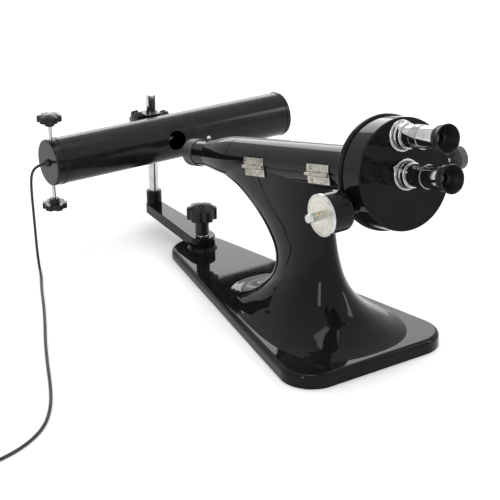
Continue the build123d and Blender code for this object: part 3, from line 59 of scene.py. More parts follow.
optic = {"y": -205.0, "z": 236.9, "tilt": 13.6, "parting": -2.85}
opticPlace = (Matrix.Translation((0, optic["y"] * mm, optic["z"] * mm))
              @ Matrix.Rotation(math.radians(90 - optic["tilt"]), 4, "X"))
lampAxis = (261.27, 140.8)
alongX = Matrix.Rotation(math.radians(90), 4, "Y")
drivePlace = opticPlace @ Matrix.Translation((0, -25.5 * mm, 12.0 * mm)) @ alongX
lockPlace = opticPlace @ Matrix.Translation((0, 0, 21.0 * mm)) @ alongX
lampPlace = Matrix.Translation((0, lampAxis[0] * mm, lampAxis[1] * mm)) @ alongX
upsideDown = Matrix.Rotation(math.pi, 4, "X")
alongLeft = Matrix.Rotation(math.radians(-90), 4, "Y")


def shifted(x=0.0, y=0.0, z=0.0):
    return Matrix.Translation((x * mm, y * mm, z * mm))


# modelling helpers, sizes in millimetres

def makeActive(piece):
    bpy.ops.object.select_all(action="DESELECT")
    piece.select_set(True)
    bpy.context.view_layer.objects.active = piece


def openPiece(name, kind, **sizes):
    bpy.ops.object.select_all(action="DESELECT")
    getattr(bpy.ops.mesh, "primitive_" + kind + "_add")(**sizes)
    piece = bpy.context.object
    piece.name = name
    piece.data.name = name
    bpy.ops.object.mode_set(mode="EDIT")
    bpy.ops.mesh.select_all(action="SELECT")
    return piece


def closePiece(piece, place=None):
    bpy.ops.object.mode_set(mode="OBJECT")
    if place is not None:
        piece.matrix_world = place @ piece.matrix_world
    makeActive(piece)
    bpy.ops.object.transform_apply(location=True, rotation=True, scale=True)
    return piece


def tidyMesh():
    bpy.ops.mesh.select_all(action="SELECT")
    bpy.ops.mesh.remove_doubles(threshold=0.003 * mm)
    bpy.ops.mesh.normals_make_consistent(inside=False)


def applyModifier(piece, kind, **settings):
    makeActive(piece)
    modifier = piece.modifiers.new(kind.lower(), kind)
    for key, value in settings.items():
        setattr(modifier, key, value)
    bpy.ops.object.modifier_apply(modifier=modifier.name)


def cutWith(piece, tool, operation="DIFFERENCE"):
    applyModifier(piece, "BOOLEAN", object=tool, operation=operation, solver="EXACT")
    bpy.data.objects.remove(tool)


def joinPieces(piece, *others):
    makeActive(piece)
    for other in others:
        other.select_set(True)
    bpy.ops.object.join()
    return piece


def softenEdges(piece, width=0.4, segments=2, smooth=32):
    if width:
        applyModifier(piece, "BEVEL", width=width * mm, segments=segments, limit_method="ANGLE",
                      angle_limit=math.radians(38), use_clamp_overlap=True)
    makeActive(piece)
    bpy.ops.object.shade_smooth_by_angle(angle=math.radians(smooth))
    applyModifier(piece, "WEIGHTED_NORMAL", keep_sharp=True)


def finishPiece(piece, body, material, slotName, *nodes):
    piece.data.materials.clear()
    piece.data.materials.append(material)
    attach(piece, body)
    if nodes:
        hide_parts(*nodes)
    return piece


def arcPoints(centre, radius, start, stop, count=6):
    points = []
    for number in range(count + 1):
        turn = math.radians(start + (stop - start) * number / count)
        points.append((centre[0] + radius * math.cos(turn), centre[1] + radius * math.sin(turn)))
    return points


def turnPiece(name, outline, place=None, steps=96):
    # an outline of (radius, height) points, extruded from one vertex and spun once round
    piece = openPiece(name, "plane", size=1 * mm)
    bpy.ops.mesh.merge(type="CENTER")
    bpy.ops.transform.translate(value=(outline[0][0] * mm, 0, outline[0][1] * mm))
    for here, there in zip(outline, outline[1:]):
        step = ((there[0] - here[0]) * mm, 0, (there[1] - here[1]) * mm)
        bpy.ops.mesh.extrude_region_move(TRANSFORM_OT_translate={"value": step})
    bpy.ops.mesh.select_all(action="SELECT")
    bpy.ops.mesh.spin(steps=steps, angle=2 * math.pi, center=(0, 0, 0), axis=(0, 0, 1))
    tidyMesh()
    return closePiece(piece, place)


def cutLevel(piece, level, keepAbove):
    # cut in the optical frame at a height above the axis, before the piece is placed
    bpy.ops.object.mode_set(mode="EDIT")
    bpy.ops.mesh.select_all(action="SELECT")
    bpy.ops.mesh.bisect(plane_co=(0, level * mm, 0), plane_no=(0, 1, 0), use_fill=True,
                        clear_inner=keepAbove, clear_outer=not keepAbove)
    bpy.ops.object.mode_set(mode="OBJECT")


def placePiece(piece, place):
    makeActive(piece)
    piece.matrix_world = place
    bpy.ops.object.transform_apply(location=True, rotation=True, scale=True)
    return piece


def starKnob(name, diameter, height, neck, neckRadius, place, lobes=6, edge=1.1):
    # domed grip with round notches, standing on its neck
    piece = openPiece(name, "circle", vertices=lobes * 24, radius=diameter / 2 * mm, fill_type="NGON",
                      location=(0, 0, neck * mm))
    bpy.ops.object.mode_set(mode="OBJECT")
    notchAt, notchRadius = diameter * 0.565, diameter * 0.15
    for vertex in piece.data.vertices:
        around = math.atan2(vertex.co.y, vertex.co.x)
        pitch = 2 * math.pi / lobes
        offset = (around + pitch / 2) % pitch - pitch / 2
        radius = diameter / 2
        reach = notchRadius ** 2 - (notchAt * math.sin(offset)) ** 2
        if reach > 0:
            radius = min(radius, notchAt * math.cos(offset) - math.sqrt(reach))
        vertex.co.x, vertex.co.y = radius * mm * math.cos(around), radius * mm * math.sin(around)
    bpy.ops.object.mode_set(mode="EDIT")
    bpy.ops.mesh.select_all(action="SELECT")
    rise = height * 0.28
    dome = ((diameter / 2) ** 2 + rise ** 2) / (2 * rise)
    bpy.ops.mesh.extrude_region_move(TRANSFORM_OT_translate={"value": (0, 0, (height - rise) * mm)})
    centre = (0, 0, (neck + height - rise) * mm)
    before = 1.0
    for share in (0.86, 0.7, 0.52, 0.34, 0.16):
        drop = dome - math.sqrt(dome ** 2 - (before * diameter / 2) ** 2)
        climb = drop - (dome - math.sqrt(dome ** 2 - (share * diameter / 2) ** 2))
        bpy.ops.mesh.extrude_region_move(TRANSFORM_OT_translate={"value": (0, 0, climb * mm)})
        bpy.ops.transform.resize(value=(share / before, share / before, 1), center_override=centre)
        before = share
    tidyMesh()
    closePiece(piece)
    stem = turnPiece(name + "Stem", [
        (0, 0), (neckRadius - 0.6, 0), (neckRadius, 0.6), (neckRadius, neck - 2.2),
        (neckRadius + 0.7, neck - 0.7), (neckRadius + 2.4, neck + 0.2), (0, neck + 0.2)], steps=64)
    softenEdges(piece, edge, 3)
    softenEdges(stem, 0)
    joinPieces(piece, stem)
    return placePiece(piece, place)


# finishes

def startFinish(name):
    material = bpy.data.materials.new(name)
    material.use_nodes = True
    nodes, links = material.node_tree.nodes, material.node_tree.links
    shader = nodes["Principled BSDF"]
    coords = nodes.new("ShaderNodeTexCoord")
    return material, nodes, links, shader, coords.outputs["Object"]


def noiseOn(nodes, links, coords, scale, detail=4.0, roughness=0.5, stretch=None):
    noise = nodes.new("ShaderNodeTexNoise")
    noise.inputs["Scale"].default_value = scale
    noise.inputs["Detail"].default_value = detail
    noise.inputs["Roughness"].default_value = roughness
    if stretch:
        mapping = nodes.new("ShaderNodeMapping")
        mapping.inputs["Scale"].default_value = stretch
        links.new(coords, mapping.inputs["Vector"])
        coords = mapping.outputs["Vector"]
    links.new(coords, noise.inputs["Vector"])
    return noise.outputs["Fac"]


def rampOn(nodes, links, value, stops):
    ramp = nodes.new("ShaderNodeValToRGB")
    ramp.color_ramp.elements[0].position, ramp.color_ramp.elements[0].color = stops[0]
    ramp.color_ramp.elements[1].position, ramp.color_ramp.elements[1].color = stops[-1]
    for position, colour in stops[1:-1]:
        ramp.color_ramp.elements.new(position).color = colour
    links.new(value, ramp.inputs["Fac"])
    return ramp.outputs["Color"]


def rangeOn(nodes, links, value, low, high, fromLow=0.3, fromHigh=0.7):
    spread = nodes.new("ShaderNodeMapRange")
    for key, number in (("From Min", fromLow), ("From Max", fromHigh), ("To Min", low), ("To Max", high)):
        spread.inputs[key].default_value = number
    links.new(value, spread.inputs["Value"])
    return spread.outputs["Result"]


def bumpOn(nodes, links, shader, value, strength, distance, under=None):
    bump = nodes.new("ShaderNodeBump")
    bump.inputs["Strength"].default_value = strength
    bump.inputs["Distance"].default_value = distance
    links.new(value, bump.inputs["Height"])
    if under:
        links.new(under.outputs["Normal"], bump.inputs["Normal"])
    links.new(bump.outputs["Normal"], shader.inputs["Normal"])
    return bump


def grey(value, tint=(1.0, 1.0, 1.0)):
    return (value * tint[0], value * tint[1], value * tint[2], 1.0)


def dustOn(nodes, links, coords, amount):
    # settled dust on what faces up, broken by fine speckle
    geometry = nodes.new("ShaderNodeNewGeometry")
    split = nodes.new("ShaderNodeSeparateXYZ")
    links.new(geometry.outputs["Normal"], split.inputs["Vector"])
    facing = rangeOn(nodes, links, split.outputs["Z"], 0.0, amount, 0.55, 1.0)
    speckle = rangeOn(nodes, links, noiseOn(nodes, links, coords, 260, 6.0, 0.7), 0.1, 1.0, 0.42, 0.68)
    both = nodes.new("ShaderNodeMath")
    both.operation = "MULTIPLY"
    links.new(facing, both.inputs[0])
    links.new(speckle, both.inputs[1])
    return both.outputs["Value"]


def blendColours(nodes, links, share, low, high):
    mix = nodes.new("ShaderNodeMix")
    mix.data_type = "RGBA"
    links.new(share, mix.inputs["Factor"])
    for socket, colour in ((mix.inputs[6], low), (mix.inputs[7], high)):
        if isinstance(colour, tuple):
            socket.default_value = colour
        else:
            links.new(colour, socket)
    return mix.outputs[2]


enamelLook = {"dark": 0.0038, "light": 0.0065, "smooth": 0.035, "smudged": 0.085, "dust": 0.05,
              "peelScale": 420.0, "peelStrength": 0.02, "specular": 0.13}
lampLook = {"dark": 0.006, "light": 0.011, "smooth": 0.13, "smudged": 0.26, "dust": 0.10,
            "peelScale": 520.0, "peelStrength": 0.03, "specular": 0.20}


def makeEnamel(name, look):
    material, nodes, links, shader, coords = startFinish(name)
    mottled = rampOn(nodes, links, noiseOn(nodes, links, coords, 34, 5.0, 0.6),
                     [(0.35, grey(look["dark"])), (0.7, grey(look["light"], (1.0, 0.99, 1.03)))])
    dust = dustOn(nodes, links, coords, look["dust"])
    colour = blendColours(nodes, links, dust, mottled, grey(0.11, (1.0, 0.99, 0.96)))
    links.new(colour, shader.inputs["Base Color"])
    smudges = rangeOn(nodes, links, noiseOn(nodes, links, coords, 16, 7.0, 0.62),
                      look["smooth"], look["smudged"], 0.44, 0.72)
    dusty = nodes.new("ShaderNodeMath")
    dusty.operation = "MULTIPLY_ADD"
    links.new(dust, dusty.inputs[0])
    dusty.inputs[1].default_value = 0.5
    links.new(smudges, dusty.inputs[2])
    links.new(dusty.outputs["Value"], shader.inputs["Roughness"])
    peel = noiseOn(nodes, links, coords, look["peelScale"], 2.0, 0.4)
    bumpOn(nodes, links, shader, peel, look["peelStrength"], 0.00012)
    shader.inputs["Specular IOR Level"].default_value = look["specular"]
    return material


rimLook = {"dark": 0.022, "light": 0.045, "rough": (0.42, 0.62), "grain": 900.0}


def makeDullPaint():
    material, nodes, links, shader, coords = startFinish("dullRimPaint")
    colour = rampOn(nodes, links, noiseOn(nodes, links, coords, 120, 6.0, 0.65),
                    [(0.3, grey(rimLook["dark"])), (0.72, grey(rimLook["light"], (1.0, 0.98, 0.95)))])
    links.new(colour, shader.inputs["Base Color"])
    links.new(rangeOn(nodes, links, noiseOn(nodes, links, coords, 70), *rimLook["rough"]),
              shader.inputs["Roughness"])
    bumpOn(nodes, links, shader, noiseOn(nodes, links, coords, rimLook["grain"], 3.0), 0.25, 0.00015)
    return material


metalLooks = {
    "platedChrome": {"low": (0.33, 0.325, 0.31), "high": (0.56, 0.56, 0.55), "rough": (0.04, 0.12),
                     "spots": 70.0, "grain": 900.0, "bump": 0.01, "stretch": None},
    "agedNickel": {"low": (0.15, 0.12, 0.09), "high": (0.44, 0.42, 0.38), "rough": (0.20, 0.48),
                   "spots": 170.0, "grain": 1400.0, "bump": 0.12, "stretch": None},
    "turnedSteel": {"low": (0.30, 0.29, 0.28), "high": (0.58, 0.58, 0.58), "rough": (0.22, 0.36),
                    "spots": 90.0, "grain": 700.0, "bump": 0.10, "stretch": (1.0, 1.0, 7.0)},
    "satinDial": {"low": (0.42, 0.41, 0.36), "high": (0.60, 0.59, 0.52), "rough": (0.30, 0.46),
                  "spots": 60.0, "grain": 1300.0, "bump": 0.10, "stretch": (9.0, 1.0, 1.0)},
    "agedBrass": {"low": (0.28, 0.18, 0.07), "high": (0.72, 0.54, 0.26), "rough": (0.18, 0.38),
                  "spots": 140.0, "grain": 800.0, "bump": 0.08, "stretch": None},
}


def makeMetal(name):
    look = metalLooks[name]
    material, nodes, links, shader, coords = startFinish(name)
    colour = rampOn(nodes, links, noiseOn(nodes, links, coords, look["spots"], 8.0, 0.68),
                    [(0.30, (*look["low"], 1.0)), (0.52, (*look["high"], 1.0))])
    links.new(colour, shader.inputs["Base Color"])
    shader.inputs["Metallic"].default_value = 1.0
    links.new(rangeOn(nodes, links, noiseOn(nodes, links, coords, look["spots"] * 0.4, 6.0, 0.6),
                      *look["rough"]), shader.inputs["Roughness"])
    grain = noiseOn(nodes, links, coords, look["grain"], 3.0, 0.5, look["stretch"])
    bumpOn(nodes, links, shader, grain, look["bump"], 0.0001)
    return material


plasticLooks = {
    "knobResin": {"low": 0.006, "high": 0.014, "rough": (0.14, 0.34), "grain": 700.0, "bump": 0.08,
                  "specular": 0.22},
    "hardRubber": {"low": 0.006, "high": 0.013, "rough": (0.20, 0.38), "grain": 1100.0, "bump": 0.10,
                   "specular": 0.25},
    "greyKnob": {"low": 0.035, "high": 0.07, "rough": (0.42, 0.6), "grain": 1300.0, "bump": 0.2,
                 "specular": 0.5},
    "cordSheath": {"low": 0.010, "high": 0.022, "rough": (0.45, 0.65), "grain": 1500.0, "bump": 0.2,
                   "specular": 0.4},
    "plugResin": {"low": 0.010, "high": 0.020, "rough": (0.32, 0.5), "grain": 1200.0, "bump": 0.15,
                  "specular": 0.4},
}


def makePlastic(name):
    look = plasticLooks[name]
    material, nodes, links, shader, coords = startFinish(name)
    colour = rampOn(nodes, links, noiseOn(nodes, links, coords, 90, 6.0, 0.6),
                    [(0.3, grey(look["low"])), (0.72, grey(look["high"], (1.0, 0.98, 0.96)))])
    dust = dustOn(nodes, links, coords, 0.08)
    links.new(blendColours(nodes, links, dust, colour, grey(0.12)), shader.inputs["Base Color"])
    links.new(rangeOn(nodes, links, noiseOn(nodes, links, coords, 55, 6.0, 0.6), *look["rough"]),
              shader.inputs["Roughness"])
    bumpOn(nodes, links, shader, noiseOn(nodes, links, coords, look["grain"], 3.0), look["bump"], 0.0001)
    shader.inputs["Specular IOR Level"].default_value = look["specular"]
    return material


glassLook = {"tint": (0.90, 0.95, 0.95, 1.0), "index": 1.5, "rough": (0.0, 0.03)}


def makeGlass():
    material, nodes, links, shader, coords = startFinish("clearGlass")
    shader.inputs["Base Color"].default_value = glassLook["tint"]
    shader.inputs["Transmission Weight"].default_value = 1.0
    shader.inputs["IOR"].default_value = glassLook["index"]
    links.new(rangeOn(nodes, links, noiseOn(nodes, links, coords, 80, 5.0), *glassLook["rough"]),
              shader.inputs["Roughness"])
    return material


enamel = makeEnamel("stoveEnamel", enamelLook)
lampEnamel = makeEnamel("lampEnamel", lampLook)
dullPaint = makeDullPaint()
chrome = makeMetal("platedChrome")
nickel = makeMetal("agedNickel")
steel = makeMetal("turnedSteel")
dialMetal = makeMetal("satinDial")
brass = makeMetal("agedBrass")
knobResin = makePlastic("knobResin")
hardRubber = makePlastic("hardRubber")
greyKnob = makePlastic("greyKnob")
cordSheath = makePlastic("cordSheath")
plugResin = makePlastic("plugResin")
glass = makeGlass()
print("finishes ready")

makeCamera()


# cord, from the lamp's left cap down to the floor and into the coil beside the plug

cordRoute = [
    (-180.0, 261.3, 140.8), (-189.0, 261.3, 140.2), (-197.0, 261.2, 134.5), (-200.0, 261.0, 124.0),
    (-200.6, 260.8, 108.0), (-200.2, 260.5, 82.0), (-200.0, 259.5, 52.0), (-200.6, 257.0, 26.0),
    (-203.5, 247.0, 7.5), (-209.5, 229.0, 1.9), (-225.0, 196.0, 1.9), (-244.0, 150.0, 1.9),
    (-264.5, 104.0, 1.9), (-286.5, 57.0, 1.9), (-307.0, 9.0, 1.9), (-325.5, -37.0, 1.9),
    (-345.0, -79.0, 1.9), (-371.0, -116.0, 1.9), (-406.0, -139.0, 1.9), (-441.0, -148.5, 1.9),
    (-473.1, -152.3, 2.2),
]
cordSetup = {"diameter": 3.6, "coilCentre": (-482.0, -179.2), "coilRadius": 21.5, "coilHeight": 6.0,
             "bundle": 4.15, "turns": 6.231, "perTurn": 16, "startAngle": 96.7, "startLayer": -50.0,
             "length": 1505.0, "plugX": -507.7, "plugStart": -194.8}


def layCord():
    points = list(cordRoute)
    steps = int(cordSetup["turns"] * cordSetup["perTurn"])
    for step in range(1, steps + 1):
        turns = cordSetup["turns"] * step / steps
        around = math.radians(cordSetup["startAngle"] + 360 * turns)
        layer = math.radians(cordSetup["startLayer"] - 360 / 7 * turns)
        radius = cordSetup["coilRadius"] + cordSetup["bundle"] * math.cos(layer)
        points.append((cordSetup["coilCentre"][0] + radius * math.cos(around),
                       cordSetup["coilCentre"][1] + radius * math.sin(around),
                       cordSetup["coilHeight"] + cordSetup["bundle"] * math.sin(layer)))
    points += [(cordSetup["plugX"], cordSetup["plugStart"] + 8, 5.7),
               (cordSetup["plugX"], cordSetup["plugStart"], 6.0)]
    curve = bpy.data.curves.new("lampCord", "CURVE")
    curve.dimensions = "3D"
    spline = curve.splines.new("NURBS")
    spline.points.add(len(points) - 1)
    for point, place in zip(spline.points, points):
        point.co = (place[0] * mm, place[1] * mm, place[2] * mm, 1.0)
    spline.order_u = 3
    spline.use_endpoint_u = True
    spline.resolution_u = 6
    curve.bevel_depth = cordSetup["diameter"] / 2 * mm
    curve.bevel_resolution = 5
    curve.use_fill_caps = True
    piece = bpy.data.objects.new("lampCord", curve)
    bpy.context.scene.collection.objects.link(piece)
    return finishPiece(piece, "lamp", cordSheath, "cord_sheath", "cord", "cord_coil")


plugSizes = {"width": 20.0, "height": 14.0, "length": 34.0, "taper": 22.0, "sleeve": 4.5, "pinRadius": 2.0,
             "pinLength": 19.0, "pinSpacing": 12.0, "ribs": 5}


def makePlug():
    start = cordSetup["plugStart"]
    bodyStart = start - plugSizes["taper"]
    middle = bodyStart - plugSizes["length"] / 2
    piece = openPiece("cordPlug", "cube", size=1 * mm,
                      location=(cordSetup["plugX"] * mm, middle * mm, plugSizes["height"] / 2 * mm))
    bpy.ops.transform.resize(value=(plugSizes["width"], plugSizes["length"], plugSizes["height"]))
    closePiece(piece)
    softenEdges(piece, 2.4, 5)
    outline = [(0, 0)]
    for rib in range(plugSizes["ribs"]):
        low = 2.0 + rib * 3.4
        thick = plugSizes["sleeve"] - rib * 0.42
        outline += [(thick, low - 1.8), (thick, low), (thick - 0.8, low + 0.3), (thick - 0.8, low + 1.3)]
    outline += [(2.5, plugSizes["taper"] + 1), (0, plugSizes["taper"] + 1)]
    toCord = shifted(cordSetup["plugX"], bodyStart - 1, 6.0) @ Matrix.Rotation(math.radians(-90), 4, "X")
    sleeve = turnPiece("plugSleeve", outline, toCord, 48)
    softenEdges(sleeve, 0.25)
    joinPieces(piece, sleeve)
    piece.data.materials.clear()
    piece.data.materials.append(plugResin)
    pins = []
    for side in (-1, 1):
        away = (shifted(cordSetup["plugX"] + side * plugSizes["pinSpacing"] / 2,
                        bodyStart - plugSizes["length"], plugSizes["height"] / 2)
                @ Matrix.Rotation(math.radians(90), 4, "X"))
        radius = plugSizes["pinRadius"]
        tip = arcPoints((0, plugSizes["pinLength"] - radius), radius, 0, 90)
        pin = turnPiece("plugPin", [(0, -2), (radius, -2), *tip], away, 32)
        softenEdges(pin, 0)
        pin.data.materials.append(nickel)
        pins.append(pin)
    joinPieces(piece, *pins)
    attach(piece, "lamp")
    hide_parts("cord_plug")
    return piece


lampCord = layCord()
cordPlug = makePlug()
print("cord laid")


# outlines

def roundOutline(points, rounds, steps=6):
    # rounds: corner number to radius
    result = []
    for number, point in enumerate(points):
        if number not in rounds:
            result.append(point)
            continue
        here = Vector(point)
        back = (Vector(points[number - 1]) - here).normalized()
        ahead = (Vector(points[(number + 1) % len(points)]) - here).normalized()
        half = back.angle(ahead) / 2
        radius = rounds[number]
        centre = here + (back + ahead).normalized() * radius / math.sin(half)
        first = here + back * radius / math.tan(half)
        last = here + ahead * radius / math.tan(half)
        start = math.atan2(first.y - centre.y, first.x - centre.x)
        sweep = math.atan2(last.y - centre.y, last.x - centre.x) - start
        sweep = (sweep + math.pi) % (2 * math.pi) - math.pi
        for step in range(steps + 1):
            turn = start + sweep * step / steps
            result.append((centre.x + radius * math.cos(turn), centre.y + radius * math.sin(turn)))
    return result


def smoothLine(points, steps=8):
    # a curve through given points
    line = []
    ends = [points[0], *points, points[-1]]
    for before, here, after, beyond in zip(ends, ends[1:], ends[2:], ends[3:]):
        for step in range(steps):
            share = step / steps
            values = []
            for a, b, c, d in zip(before, here, after, beyond):
                values.append(0.5 * (2 * b + (c - a) * share + (2 * a - 5 * b + 4 * c - d) * share ** 2
                                     + (3 * b - a - 3 * c + d) * share ** 3))
            line.append(tuple(values))
    return [*line, points[-1]]


def hullOutline(circles, count):
    # circles: centre x, centre y, radius
    outline = []
    for step in range(count):
        turn = 2 * math.pi * step / count
        across, along = math.cos(turn), math.sin(turn)
        best = max(circles, key=lambda circle: circle[0] * across + circle[1] * along + circle[2])
        outline.append((best[0] + best[2] * across, best[1] + best[2] * along))
    return outline


def hullSlab(name, circles, count, low, high):
    # an outline laid flat, extruded up and left open in edit mode
    piece = openPiece(name, "circle", vertices=count, radius=1, fill_type="NGON", location=(0, 0, low * mm))
    bpy.ops.object.mode_set(mode="OBJECT")
    for vertex, (x, y) in zip(piece.data.vertices, hullOutline(circles, count)):
        vertex.co.x, vertex.co.y = x * mm, y * mm
    bpy.ops.object.mode_set(mode="EDIT")
    bpy.ops.mesh.select_all(action="SELECT")
    bpy.ops.mesh.extrude_region_move(TRANSFORM_OT_translate={"value": (0, 0, (high - low) * mm)})
    return piece


def holeTool(radius, low, high, place, steps=64):
    return turnPiece("hole", [(0, low), (radius, low), (radius, high), (0, high)], place, steps)


# stand casting

standSizes = {"corner": (68.0, -172.0, 38.0), "toe": (0.0, 173.0, 41.0), "front": 17.0, "toeTop": 12.0,
              "edge": 5.9, "foot": 1.0, "bossRadius": 17.0, "bossFlare": 3.0, "bossTop": 17.0,
              "trough": 25.6, "chamber": 22.0, "beam": 10.5, "length": 284.0, "noseEnd": 356.0,
              "noseRadius": 18.4, "seat": 10.0, "tube": 16.5, "bore": 8.2}


def underAxis(y, drop):
    fall = math.tan(math.radians(optic["tilt"]))
    return (y, optic["z"] - fall * (y - optic["y"]) - drop / math.cos(math.radians(optic["tilt"])))


# front y and z, rear y and z, half width, squareness, how much narrower the rear is
pillarSections = [
    (-205.0, 15.4, 66.0, 11.8, 83.0, 2.6, 0.22),
    (-201.0, 16.6, 60.0, 12.9, 80.5, 2.55, 0.21),
    (-192.0, 18.9, 50.0, 14.8, 76.0, 2.5, 0.19),
    (-180.0, 23.2, 34.0, 18.6, 69.0, 2.4, 0.16),
    (-156.0, 36.0, 10.0, 30.5, 53.6, 2.3, 0.10),
    (-138.0, 54.0, -9.0, 48.0, 40.0, 2.2, 0.04),
    (-126.0, 76.0, -17.0, 66.0, 31.0, 2.1, 0.0),
    (-118.0, 100.0, -12.0, 86.0, 26.5, 2.1, 0.0),
    (-113.0, 126.0, 8.0, 105.0, 25.2, 2.1, 0.0),
    (-110.0, 151.0, 36.0, 122.0, 25.0, 2.2, 0.0),
    (-108.0, 174.0, 72.0, 136.0, 25.0, 2.3, 0.0),
    (*underAxis(-107, 19), *underAxis(107, 19), 25.1, 2.4, 0.0),
    (*underAxis(-107, 8), *underAxis(118, 8), 24.9, 2.4, 0.0),
    (*underAxis(-107, 4), *underAxis(119, 4), 24.4, 2.4, 0.0),
]


def sectionPoint(section, turn):
    frontY, frontZ, rearY, rearZ, halfWidth, squareness, taper = section
    across = math.copysign(abs(math.cos(turn)) ** (2 / squareness), math.cos(turn))
    back = math.copysign(abs(math.sin(turn)) ** (2 / squareness), math.sin(turn))
    return Vector((halfWidth * across * (1 - taper * back),
                   (frontY + rearY) / 2 + (rearY - frontY) / 2 * back,
                   (frontZ + rearZ) / 2 + (rearZ - frontZ) / 2 * back)) * mm


def makePillar():
    count = 72
    piece = openPiece("pillar", "circle", vertices=count, radius=1, fill_type="NGON")
    bpy.ops.object.mode_set(mode="OBJECT")
    turns = [math.atan2(vertex.co.y, vertex.co.x) for vertex in piece.data.vertices]
    sections = smoothLine(pillarSections, 7)
    for vertex, turn in zip(piece.data.vertices, turns):
        vertex.co = sectionPoint(sections[0], turn)
    for section in sections[1:]:
        bpy.ops.object.mode_set(mode="EDIT")
        bpy.ops.mesh.extrude_region_move(TRANSFORM_OT_translate={"value": (0, 0, 1 * mm)})
        bpy.ops.object.mode_set(mode="OBJECT")
        fresh = [vertex for vertex in piece.data.vertices if vertex.select]
        for vertex, turn in zip(fresh, turns):
            vertex.co = sectionPoint(section, turn)
    bpy.ops.object.mode_set(mode="EDIT")
    tidyMesh()
    return closePiece(piece)


noseLine = [(25.6, -284.0), (25.25, -302.0), (23.1, -325.0), (18.4, -356.0)]


def makeTroughHalf():
    sizes = standSizes
    outline = [(sizes["beam"], 0.0), (sizes["trough"], 0.0), *smoothLine(noseLine, 6),
               (sizes["tube"], -sizes["noseEnd"]), (sizes["tube"], -sizes["noseEnd"] + sizes["seat"]),
               (sizes["bore"], -sizes["noseEnd"] + sizes["seat"]), (sizes["bore"], -sizes["length"]),
               (sizes["beam"], -sizes["length"]), (sizes["beam"], 8 - sizes["length"]),
               (sizes["chamber"], 8 - sizes["length"]), (sizes["chamber"], -10.0), (sizes["beam"], -10.0),
               (sizes["beam"], 0.0)]
    piece = turnPiece("troughHalf", outline, steps=128)
    makeActive(piece)
    cutLevel(piece, optic["parting"], keepAbove=False)
    softenEdges(piece, 0.5, 3)
    return placePiece(piece, opticPlace)


def makeHingePads():
    pads = []
    for centre in (-218.5, -86.0):
        pad = openPiece("hingePad", "cube", size=1 * mm,
                        location=(-20.6 * mm, (optic["parting"] - 6.25) * mm, centre * mm))
        bpy.ops.transform.resize(value=(10.0, 12.5, 45.0))
        closePiece(pad)
        softenEdges(pad, 0.8, 3)
        pads.append(placePiece(pad, opticPlace))
    return pads


def makeStand():
    sizes = standSizes
    x, y, radius = sizes["corner"]
    base = hullSlab("standCasting", [(x, y, radius), (-x, y, radius), sizes["toe"]], 180, 0, sizes["front"])
    bpy.ops.object.mode_set(mode="OBJECT")
    slope = (sizes["toeTop"] - sizes["front"]) / (sizes["toe"][1] - (y - radius))
    for vertex in base.data.vertices:
        if vertex.co.z > 1 * mm:
            vertex.co.z += slope * (vertex.co.y - (y - radius) * mm)
    bpy.ops.object.mode_set(mode="EDIT")
    bpy.ops.mesh.select_mode(type="FACE")
    bpy.ops.mesh.select_all(action="DESELECT")
    bpy.ops.object.mode_set(mode="OBJECT")
    for face in base.data.polygons:
        face.select = face.normal.z > 0.9
    bpy.ops.object.mode_set(mode="EDIT")
    bpy.ops.mesh.bevel(offset=sizes["edge"] * mm, segments=8, affect="EDGES")
    bpy.ops.mesh.select_all(action="DESELECT")
    bpy.ops.object.mode_set(mode="OBJECT")
    for face in base.data.polygons:
        face.select = face.normal.z < -0.9
    bpy.ops.object.mode_set(mode="EDIT")
    bpy.ops.mesh.bevel(offset=sizes["foot"] * mm, segments=2, affect="EDGES")
    bpy.ops.mesh.select_mode(type="VERT")
    tidyMesh()
    closePiece(base)
    clampHole = shifted(0, sizes["toe"][1], 0)
    cutWith(base, holeTool(5.05, 6, 20, clampHole))
    softenEdges(base, 0)
    pillar = makePillar()
    cutWith(pillar, holeTool(23.8, -277.5, -8.5, opticPlace, 96))
    cutWith(pillar, holeTool(12.0, -420, 8, opticPlace, 64))
    softenEdges(pillar, 0, smooth=50)
    foot, top = sizes["toeTop"] - 2, sizes["bossTop"]
    boss = turnPiece("clampBoss", roundOutline([
        (5.05, foot), (sizes["bossRadius"] + sizes["bossFlare"], foot),
        (sizes["bossRadius"] + sizes["bossFlare"], foot + 2.6), (sizes["bossRadius"], top - 1),
        (sizes["bossRadius"], top), (5.05, top), (5.05, foot)], {2: 1.5, 4: 0.6}), clampHole)
    softenEdges(boss, 0)
    joinPieces(base, pillar, boss, makeTroughHalf(), *makeHingePads())
    return finishPiece(base, "stand", enamel, "enamel", "stand_casting")


makeStand()
print("stand made")


# nose, polariser tube and half-shade lever

noseSizes = {"tubeOuter": 16.5, "tubeInner": 12.5, "tubeStart": 346.0, "tubeEnd": 386.0, "rimRadius": 17.6,
             "lensFront": 405.5, "lensBulge": 1.4, "pinStart": 9.6,
             "rimEnd": 407.5, "rimBore": 8.2, "lensRadius": 12.0, "lensSeat": 402.5, "sleeve": 376.0,
             "lever": 362.0, "slotLong": 9.3, "slotWide": 3.2, "ball": 2.7, "ballReach": 20.6, "pin": 1.2}


def makeNose():
    sizes = standSizes
    outline = [(sizes["bore"], -sizes["length"]), *smoothLine(noseLine, 6),
               (sizes["tube"], -sizes["noseEnd"]), (sizes["tube"], -sizes["noseEnd"] + sizes["seat"]),
               (sizes["bore"], -sizes["noseEnd"] + sizes["seat"]), (sizes["bore"], -sizes["length"])]
    piece = turnPiece("noseCover", outline, steps=128)
    cutLevel(piece, optic["parting"], keepAbove=True)
    softenEdges(piece, 0.35, 3)
    placePiece(piece, opticPlace)
    return finishPiece(piece, "stand", enamel, "enamel", "nose_cover")


